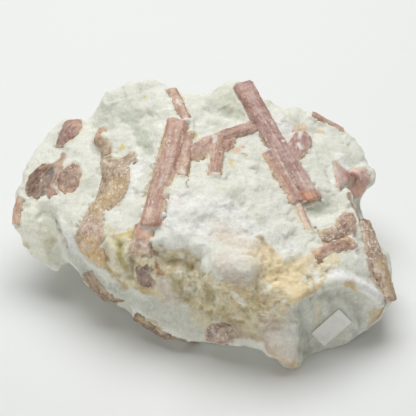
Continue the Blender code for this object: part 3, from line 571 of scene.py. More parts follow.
# Regions: outline pixels, and how soft their edges are. Lines: where fibres and ribs run.
SCARP_SOFTNESS = 1.6
HOLLOW_SOFTNESS = 1.5
FIBROUS_SOFTNESS = 4
SCARP = [
    (111, 229), (119, 230), (132, 228), (149, 256), (156, 247), (166, 251), (183, 252), (197, 258),
    (202, 267), (213, 276), (242, 284), (252, 276), (261, 264), (256, 252), (252, 245), (260, 233),
    (266, 241), (275, 251), (285, 262), (298, 259), (309, 255), (324, 263), (340, 263), (334, 271),
    (326, 281), (315, 287), (298, 300), (287, 311), (286, 327), (274, 330), (255, 332), (234, 322),
    (225, 322), (206, 325), (197, 322), (195, 313), (191, 308), (187, 299), (170, 305), (157, 301),
    (153, 290), (147, 294), (136, 292), (125, 290), (110, 275), (104, 264), (107, 251), (105, 237)]
HOLLOW = [
    (287, 308), (306, 295), (326, 286), (349, 288), (361, 297), (369, 306), (377, 316), (366, 334),
    (349, 343), (332, 351), (315, 356), (305, 357), (297, 343), (288, 327)]
FIBROUS = [
    (205, 192), (245, 192), (285, 230), (300, 262), (270, 250), (240, 232), (215, 225)]
FIBROUS_LINE = [(224, 205), (262, 240)]
HOLLOW_LINE = [(322, 296), (320, 336)]

# Where stone lies over a crystal's edge more than elsewhere: pixels, radius, how much more.
KEPT_STONE = [
    ([(298, 207), (303, 222), (309, 232)], 2.4, 0.5),
    ([(228, 132), (250, 124)], 3.0, -0.3),
    ([(178, 173), (188, 172)], 1.5, 0.25),
    ([(316, 238), (328, 238)], 2.0, 0.15),
    ([(354, 202), (362, 218)], 2.5, 0.25),
    ([(196, 158), (204, 158)], 1.5, 0.15),
    ([(352, 252), (356, 248)], 2.0, 0.3),
    ([(222, 328), (228, 334), (222, 340)], 2.2, 0.45),
    ([(210, 328), (212, 338)], 1.2, 0.3),
    ([(362, 220), (366, 229)], 2.0, 0.45),
    ([(138, 266), (141, 280)], 1.0, 0.2),
    ([(140, 316), (155, 323)], 1.0, 0.2),
    ([(326, 257), (340, 252)], 1.6, 0.5),
    ([(118, 300), (124, 303)], 1.6, 0.4),
]

# Where the broken rock is smoother: pixels, radius, share.
CALM = [
    ([(150, 305), (190, 325)], 8, 0.6),
    ([(72, 258), (100, 288)], 6, 0.6),
    ([(310, 310), (345, 310), (330, 335)], 14, 0.35),
    ([(235, 258), (252, 266)], 5, 0.75),
    ([(270, 334), (286, 352)], 5, 0.4),
    ([(225, 244), (250, 250)], 4, 0.6),
    ([(312, 138), (332, 156)], 9, 0.5),
]


def mark_share(places, pixels, radius, softness=MARK_SOFTNESS):
    """How much of a mark each place has: 1 well inside its radius, falling to 0 outside."""
    line = line_on_part(pixels)
    if not line:
        return np.zeros(len(places))
    soft = max(radius * softness, LEAST_SOFTNESS)
    return 1 - smooth_step(distance_to_line(places, line), radius - soft, radius + soft)


def tint_of(places, marks, ground):
    """The colour of the marks over each place, and how much of the ground they cover."""
    colours = np.tile(np.array(ground), (len(places), 1))
    weights = np.full(len(places), GROUND_WEIGHT)
    bare = np.ones(len(places))
    colours *= weights[:, None]
    for _, colour, pixels, radius, strength in marks:
        line = line_on_part(pixels)
        if not line:
            continue
        far = distance_to_line(places, line)
        wide = (1 - smooth_step(far, radius * MARK_CORE, radius * MARK_SPREAD + MARK_FADE)) * strength
        share = np.minimum(mark_share(places, pixels, radius) * strength, 1)
        weights += wide ** 2
        colours += np.array(colour) * (wide ** 2)[:, None]
        bare *= 1 - share
    return colours / weights[:, None], 1 - bare


def region_share(places, pixels, soft):
    """1 inside an outline drawn on the specimen, falling to 0 across the outline over soft millimetres."""
    corners = np.array(line_on_part(pixels))
    middle = corners.mean(axis=0)
    axes = np.linalg.svd(corners - middle)[2]
    flat = (places - middle) @ axes[:2].T
    outline = (corners - middle) @ axes[:2].T
    far = np.full(len(places), np.inf)
    inside = np.zeros(len(places), bool)
    for start, end in zip(outline, np.roll(outline, -1, axis=0)):
        run = end - start
        along = np.clip((flat - start) @ run / max(run @ run, TINY), 0, 1)
        far = np.minimum(far, np.linalg.norm(flat - start - along[:, None] * run, axis=1))
        if start[1] == end[1]:
            continue
        crossing = start[0] + run[0] * (flat[:, 1] - start[1]) / run[1]
        inside ^= ((start[1] > flat[:, 1]) != (end[1] > flat[:, 1])) & (flat[:, 0] < crossing)
    signed = np.where(inside, -far, far)
    depth = np.abs((places - middle) @ axes[2])
    return (1 - smooth_step(signed, -soft, soft)) * (1 - smooth_step(depth, *REGION_DEPTH))


def ramp(value, low, high):
    return min(max((value - low) / (high - low), 0), 1)


def tuck_depth(places, broad, crystals):
    """How far each place has to sink so that no stone lies over a crystal's outer face."""
    depth = np.zeros(len(places))
    for index, place in enumerate(places):
        nearest, normal, _, far = crystals.find_nearest(Vector(place), TUCK_REACH)
        if nearest is None:
            continue
        out = (Vector(place) - nearest).dot(normal)
        above = ramp(abs(out) / far, *ABOVE_FACE) if far > TOUCHING else 1
        over = ramp(normal.dot(Vector(broad[index])), *FACING_WITH)
        depth[index] = above * over * max(TUCK + out, 0)
    return depth


def kept_share(places):
    """Where a thin ragged skin of stone lies over a crystal's edge."""
    wanted = relief_at(places, KEPT_PATCHES)
    for pixels, radius, more in KEPT_STONE:
        wanted += mark_share(places, pixels, radius, 1.0) * more
    return smooth_step(wanted, *KEPT_LEVELS) * rim_share(places, MATRIX)


def rim_share(places, crystals):
    """How near each place is to a crystal's edge, for the rusty line that follows some of them."""
    reach = RIM_REACH[1]
    far = [crystals.find_nearest(Vector(place), reach)[3] for place in places]
    near = np.array([reach if value is None else value for value in far])
    return 1 - smooth_step(near, *RIM_REACH)


def turned_away(facing):
    """How far each place faces the back or the floor."""
    return smooth_step(facing @ AWAY, *AWAY_LEVELS)


def weather_share(places, facing):
    """Ochre weathering over the back and the under sides, which the photograph does not show."""
    return turned_away(facing) * smooth_step(relief_at(places, WEATHERING), *WEATHER_LEVELS)


def broken_faces(places, size, tilt, seed):
    """Small flat faces at chance tilts, as of broken rock."""
    shift = seed_shift(seed, FACE_SEED_STEPS)
    heights = np.empty(len(places))
    for index, place in enumerate(places / size):
        wandering = Vector(place) + shift
        wandering += noise.noise_vector(wandering) * FACE_WANDER
        cell = noise.voronoi(wandering)[1][0]
        slope = noise.cell_vector(cell * CELL_TO_SLOPE) - Vector((0.5, 0.5, 0.5))
        heights[index] = (wandering - cell).dot(slope)
    return heights * size * tilt


def stone_height(places, ragged, calm, fibrous, hollow):
    """The skin's height over its smooth form, and the fine part of it that the colours follow."""
    rough = (1 + RAGGED_ROUGHER * ragged) * (1 - CALM_SMOOTHER * calm)
    faces = broken_faces(places, *BROAD_FACES) + broken_faces(places, *SMALL_FACES)
    grain = relief_at(places, GRAIN) * rough
    pits = -np.clip(relief_at(places, PITS) - PIT_LEVEL, 0, 1) * PIT_DEPTH * ragged
    ribs = relief_at(lengthwise_places(places, [FIBROUS_LINE]), FIBRES) * fibrous
    ribs += relief_at(lengthwise_places(places, [HOLLOW_LINE]), HOLLOW_RIBS) * hollow
    height = relief_at(places, SWELL) + faces * rough + grain + pits + ribs
    return height, grain + pits + ribs * RIBS_IN_COLOUR


def worked(places, height):
    """The height with the reliefs and blocks added, and none at the base or round the label."""
    for _, pixels, radius, rise in RELIEFS:
        height += mark_share(places, pixels, radius, 1.0) * rise
    for _, pixels, soft, rise in BLOCKS:
        height += region_share(places, pixels, soft) * rise
    height *= smooth_step(places[:, 2], *CALM_BASE)
    height *= smooth_step(distance_to_line(places, label_line()), *LABEL_CLEAR)
    return height


def rock_facing(node):
    """The direction that the rock round a crystal faces."""
    crystal = tree_of([node])
    low, high = BANK_NEIGHBOURS
    facing = Vector()
    for face in NODES["matrix"].data.polygons:
        nearest, _, _, far = crystal.find_nearest(face.center / MM, high)
        if nearest is not None and far > low:
            facing += face.normal * face.area
    return facing.normalized()


def stone_body(crystals):
    """The block with its pockets closed and a low bank of stone round each crystal, meshed finely."""
    shape = bmesh.new()
    shape.from_mesh(NODES["matrix"].data)
    for node in crystals:
        grown(shape, node, GAP_CLOSED)
        sunk = BANK_WIDTH + BANK_DROPS.get(node.name, 0) - BANK_TOP
        grown(shape, node, BANK_WIDTH, rock_facing(node) * -sunk)
    return fine_mesh("feldspar", shape, STONE_VOXEL, SMOOTHING)


def calm_share(places, hollow):
    """Where the broken rock is smoother."""
    calm = hollow * HOLLOW_CALM
    for pixels, radius, share in CALM:
        calm = np.maximum(calm, mark_share(places, pixels, radius, 1.0) * share)
    return calm


def build_stone():
    crystals = [node for name, node in NODES.items() if name not in ("matrix", "paper_label")]
    stone = stone_body(crystals)
    mesh = stone.data
    places, facing = places_of(mesh), normals_of(mesh)
    scarp = region_share(warped(places, SCARP_WANDER), SCARP, SCARP_SOFTNESS)
    hollow = region_share(places, HOLLOW, HOLLOW_SOFTNESS)
    fibrous = region_share(places, FIBROUS, FIBROUS_SOFTNESS)
    calm = calm_share(places, hollow)
    ragged = np.maximum(scarp * (1 - calm), turned_away(facing) * AWAY_RAGGED)
    height, fine = stone_height(places, ragged, calm, fibrous, hollow)
    height = worked(places, height)
    sunk = tuck_depth(places, broad_facing(stone, BROAD_SMOOTHING), tree_of(crystals))
    sunk *= 1 - kept_share(places)
    over = np.clip(sunk / TUCK, 0, 1)
    raised = places + facing * (height * (1 - over) - sunk)[:, None]
    raised[:, 2] = np.maximum(raised[:, 2], 0)
    tint, cover = tint_of(warped(raised, TINT_WANDER), STONE_MARKS, PALE_STONE)
    layers = {
        "tint": tint, "cover": cover, "scarp": scarp, "hollow": hollow, "relief": fine,
        "rim": rim_share(raised, tree_of(crystals)), "weather": weather_share(raised, facing)}
    for name, values in layers.items():
        store(mesh, name, values)
    move_to(mesh, raised)
    smooth_shaded(mesh)
    mesh.materials.append(stone_material())
    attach(stone, "root")
    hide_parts("matrix")


# ---------------------------------------------------------------------------------------------------------
# Materials
# ---------------------------------------------------------------------------------------------------------


class Nodes:
    """A short way to build a material's nodes."""

    def __init__(self, name):
        self.material = bpy.data.materials.new(name)
        self.material.use_nodes = True
        self.tree = self.material.node_tree
        self.shader = self.tree.nodes["Principled BSDF"]
        self.place = self.add("ShaderNodeTexCoord").outputs["Object"]

    def add(self, kind, inputs=None, **settings):
        node = self.tree.nodes.new(kind)
        for key, value in settings.items():
            setattr(node, key, value)
        for key, value in (inputs or {}).items():
            self.feed(node.inputs[key], value)
        return node

    def feed(self, socket, value):
        if isinstance(value, bpy.types.NodeSocket):
            self.tree.links.new(value, socket)
        elif isinstance(value, tuple) and len(value) == 3 and socket.type == "RGBA":
            socket.default_value = (*value, 1)
        else:
            socket.default_value = value

    def attribute(self, name, output):
        return self.add("ShaderNodeAttribute", attribute_name=name).outputs[output]

    def noise(self, size, detail=2.0, vector=None, roughness=0.5):
        """Noise whose features are about size millimetres wide, or in the units of vector."""
        scale = 1 / size if vector is not None else 1 / (size * MM)
        node = self.add("ShaderNodeTexNoise", {
            "Vector": vector or self.place, "Scale": scale, "Detail": detail, "Roughness": roughness})
        return node.outputs["Fac"]

    def cells(self, size):
        scale = 1 / (size * MM)
        node = self.add("ShaderNodeTexVoronoi", {"Vector": self.place, "Scale": scale})
        return node.outputs["Distance"]

    def math(self, operation, first, second=0.0, third=0.0):
        node = self.add("ShaderNodeMath", operation=operation)
        for socket, value in zip(node.inputs, (first, second, third)):
            self.feed(socket, value)
        return node.outputs[0]

    def scaled(self, value, share, start=0.0):
        """Share times the value, counted from start."""
        return self.math("MULTIPLY_ADD", value, share, start)

    def sum_of(self, *parts):
        """The sum of values, each given with its share."""
        total = 0.0
        for value, share in parts:
            total = self.scaled(value, share, total)
        return total

    def step(self, value, low, high):
        node = self.add("ShaderNodeMapRange", {"Value": value, "From Min": low, "From Max": high},
                        interpolation_type="SMOOTHSTEP")
        return node.outputs["Result"]

    def mix(self, share, first, second, blend="MIX"):
        node = self.add("ShaderNodeMix", data_type="RGBA", blend_type=blend)
        for index, value in ((0, share), (6, first), (7, second)):
            self.feed(node.inputs[index], value)
        return node.outputs[2]

    def layer(self, under, over, share, strength):
        """The colour over laid on the colour under, as far as share says, times strength."""
        return self.mix(self.scaled(share, strength), under, over)

    def shaded(self, colour, value, share, start):
        """The colour made darker or lighter by share times the value, counted from start."""
        light = self.scaled(value, share, start)
        grey = self.add("ShaderNodeCombineColor", {0: light, 1: light, 2: light}).outputs[0]
        return self.mix(1.0, colour, grey, "MULTIPLY")

    def bump(self, height, depth):
        """Bump of depth millimetres."""
        node = self.add("ShaderNodeBump", {"Height": height, "Distance": depth * MM, "Strength": 1.0})
        return node.outputs["Normal"]

    def surface(self, inputs):
        for name, value in inputs.items():
            self.feed(self.shader.inputs[name], value)


def scarp_colour(nodes, relief, crumbs):
    """The earthy brown crust of the scarp, darker in its pits."""
    earthy = nodes.sum_of((nodes.noise(4.2, 5, roughness=0.62), 0.7), (crumbs, 0.3))
    colour = nodes.mix(nodes.step(earthy, 0.36, 0.48), PALE_STONE, CREAM)
    colour = nodes.layer(colour, OCHRE, nodes.step(earthy, 0.46, 0.56), 0.5)
    colour = nodes.layer(colour, OLIVE, nodes.step(earthy, 0.55, 0.63), 0.45)
    colour = nodes.layer(colour, BROWN, nodes.step(nodes.noise(2.6, 4), 0.58, 0.68), 0.3)
    colour = nodes.layer(colour, OLIVE, nodes.step(nodes.scaled(relief, -1.0), 0.08, 0.4), 0.4)
    return nodes.layer(colour, PALE_STONE, nodes.step(nodes.noise(1.9, 4, roughness=0.6), 0.54, 0.62), 0.6)


def ground_colour(nodes, relief, tiny):
    """Mottled white and grey feldspar with painted shade in the hollow (a cold blue grey), the weathering and
    the rusty rims.
    """
    small = nodes.noise(2.2, 4)
    greyness = nodes.sum_of((nodes.noise(9.0, 4), 0.6), (small, 0.4), (relief, -0.2))
    colour = nodes.mix(nodes.step(greyness, 0.42, 0.64), PALE_STONE, GREY_STONE_AND_SHADE)
    colour = nodes.layer(colour, SNOW_AND_PAINTED_LIGHT, nodes.step(tiny, 0.56, 0.70), 0.4)
    colour = nodes.layer(colour, CREAM, nodes.step(nodes.noise(4.6, 4, roughness=0.65), 0.58, 0.74), 0.22)
    # Painted shade: the hollow's faces turn away from the lamps, so blue grey is laid over them.
    colour = nodes.layer(colour, BLUE_GREY_AND_SHADE, nodes.attribute("hollow", "Fac"), 0.7)
    stained = nodes.step(nodes.noise(6.5, 6, roughness=0.72), 0.36, 0.72)
    weather = nodes.scaled(nodes.attribute("weather", "Fac"), stained)
    colour = nodes.layer(colour, nodes.mix(small, CREAM, OCHRE), weather, 0.8)
    rust = nodes.scaled(nodes.attribute("rim", "Fac"), nodes.step(nodes.noise(5.0, 2), 0.42, 0.6))
    return nodes.layer(colour, TAN, rust, 0.65)


def stone_material():
    """The feldspar's ground with the scarp's crust and the marks over it."""
    nodes = Nodes("feldspar")
    tiny = nodes.noise(0.8, 2)
    crumbs = nodes.noise(1.6, 4, roughness=0.6)
    relief = nodes.attribute("relief", "Fac")
    colour = ground_colour(nodes, relief, tiny)
    crusted = nodes.step(nodes.sum_of((nodes.attribute("scarp", "Fac"), 1.0), (crumbs, 0.5)), 0.55, 1.1)
    colour = nodes.layer(colour, scarp_colour(nodes, relief, crumbs), crusted, 0.9)

    tint = nodes.shaded(nodes.attribute("tint", "Vector"), nodes.noise(1.3, 3), 0.5, 0.75)
    marked = nodes.step(nodes.sum_of((nodes.attribute("cover", "Fac"), 1.0), (crumbs, 1.1)), 0.65, 1.5)
    colour = nodes.layer(colour, tint, marked, 0.9)
    colour = nodes.shaded(colour, nodes.noise(0.6, 4, roughness=0.7), 0.5, 0.75)
    nodes.surface({
        "Base Color": colour,
        "Roughness": nodes.scaled(tiny, 0.35, 0.5),
        "Normal": nodes.bump(nodes.sum_of((nodes.noise(0.6, 3), 1.0), (nodes.cells(1.2), 0.6)), 0.2),
        "Specular IOR Level": 0.35,
        "Subsurface Weight": 0.5,
        "Subsurface Radius": (1.0, 0.95, 0.85),
        "Subsurface Scale": 1.1 * MM})
    return nodes.material


def ribbed_colour(nodes, tint, dark, ribs, streaks, sugar):
    """Light and dark ribs along a crystal, its rusty rims, and its marks over both."""
    shade = nodes.sum_of((streaks, 0.35), (nodes.noise(2.6, 3, ribs), 0.3), (nodes.noise(3.4, 4), 0.35))
    pale = nodes.mix(0.15 + 0.25 * sugar, tint, RIB_LIGHT)
    colour = nodes.mix(nodes.step(shade, 0.38, 0.62), dark, pale)
    rim = nodes.scaled(nodes.attribute("rim", "Fac"), nodes.step(nodes.noise(2.2, 3), 0.36, 0.58))
    rim_colour = nodes.mix(nodes.step(nodes.noise(3.0, 2), 0.45, 0.6), PEACH, TAN)
    colour = nodes.layer(colour, rim_colour, rim, 0.75)
    return nodes.layer(colour, tint, nodes.attribute("cover", "Fac"), 0.35)


def sugared(nodes, colour, tint, dark, ribs, grit, sugar):
    """The colour with pale flecks, white grit, and grains where there is much sugar."""
    flecks = nodes.sum_of((nodes.noise(1.2, 4, roughness=0.65), 0.6), (nodes.noise(0.8, 3, ribs), 0.4))
    fleck_colour = nodes.mix(0.65, tint, FLECK)
    colour = nodes.layer(colour, fleck_colour, nodes.step(flecks, 0.53, 0.6), 0.25 + 0.4 * sugar)
    low = 0.64 - 0.14 * sugar
    colour = nodes.layer(colour, GRIT, nodes.step(grit, low, low + 0.06), 0.7)
    grains = nodes.noise(0.9, 4, roughness=0.7)
    grainy = min(max(sugar - 0.5, 0) * 1.6, 0.45)
    colour = nodes.layer(colour, dark, nodes.scaled(nodes.step(grains, 0.38, 0.46), -1.0, 1.0), grainy)
    return nodes.layer(colour, TAN, nodes.step(grains, 0.54, 0.62), grainy)


def tourmaline_material(name, sugar, gloss):
    """sugar is how much white grit clings to the crystal, and gloss how bright its clean faces are."""
    nodes = Nodes(name)
    ribs = nodes.attribute("lengthwise", "Vector")
    tint = nodes.attribute("tint", "Vector")
    dark = nodes.mix(1.0, tint, RIB_SHADE, "MULTIPLY")
    streaks = nodes.noise(1.0, 3, ribs)
    drawn_grit = nodes.noise(0.8, 2, ribs)
    grit = nodes.sum_of((drawn_grit, 0.3), (nodes.noise(0.8, 3), 0.4), (nodes.noise(3.0, 2), 0.3))
    colour = ribbed_colour(nodes, tint, dark, ribs, streaks, sugar)
    nodes.surface({
        "Base Color": sugared(nodes, colour, tint, dark, ribs, grit, sugar),
        "Roughness": nodes.scaled(nodes.step(grit, 0.4, 0.6), 0.3, 0.62 - 0.3 * gloss),
        "Normal": nodes.bump(nodes.sum_of((streaks, 0.6), (nodes.noise(0.5, 3), 1.0)), 0.14),
        "Specular IOR Level": 0.5,
        "IOR": 1.63,
        "Subsurface Weight": 0.35,
        "Subsurface Radius": (1.0, 0.6, 0.5),
        "Subsurface Scale": 1.2 * MM})
    return nodes.material


def paper_material():
    nodes = Nodes("label_paper")
    fibre = nodes.noise(0.35, 4)
    colour = nodes.mix(nodes.step(fibre, 0.35, 0.7), PAPER_SHADE, PAPER_WHITE)
    colour = nodes.layer(colour, PAPER_STAIN, nodes.step(nodes.noise(3.5, 3), 0.5, 0.75), 0.35)
    nodes.surface({
        "Base Color": colour,
        "Roughness": nodes.scaled(fibre, 0.2, 0.7),
        "Normal": nodes.bump(fibre, 0.03)})
    return nodes.material


# ---------------------------------------------------------------------------------------------------------
# The crystals: slot, colour, sugar, gloss, lines of their ribs, marks
# ---------------------------------------------------------------------------------------------------------

CRYSTAL_VOXEL = 0.42
CRYSTAL_GROWTH = 0.34
WIDER_GROWTH = {"cross_prism": 1.0, "low_left_crystal": 0.8, "right_edge_prism": 0.8, "ridge_crystal": 0.5}
CRYSTAL_SMOOTHING = 3
CRYSTAL_WANDER = (2.4, 0.7)
ABOVE_FLOOR = 0.05
GLASSY = 0.4
LONG_RIBS = 7
SHORT_RIBS = 2.2
SHORTEST_RUN = 0.5

# Forms of a crystal's faces: size, octaves, seed, height.
RIBS = (0.9, 2, 7, 0.13)
CHIPS = (2.4, 2, 8, 0.224)
SUGAR = (0.95, 1, 9, 0.14)
LEAST_SUGAR = 0.4

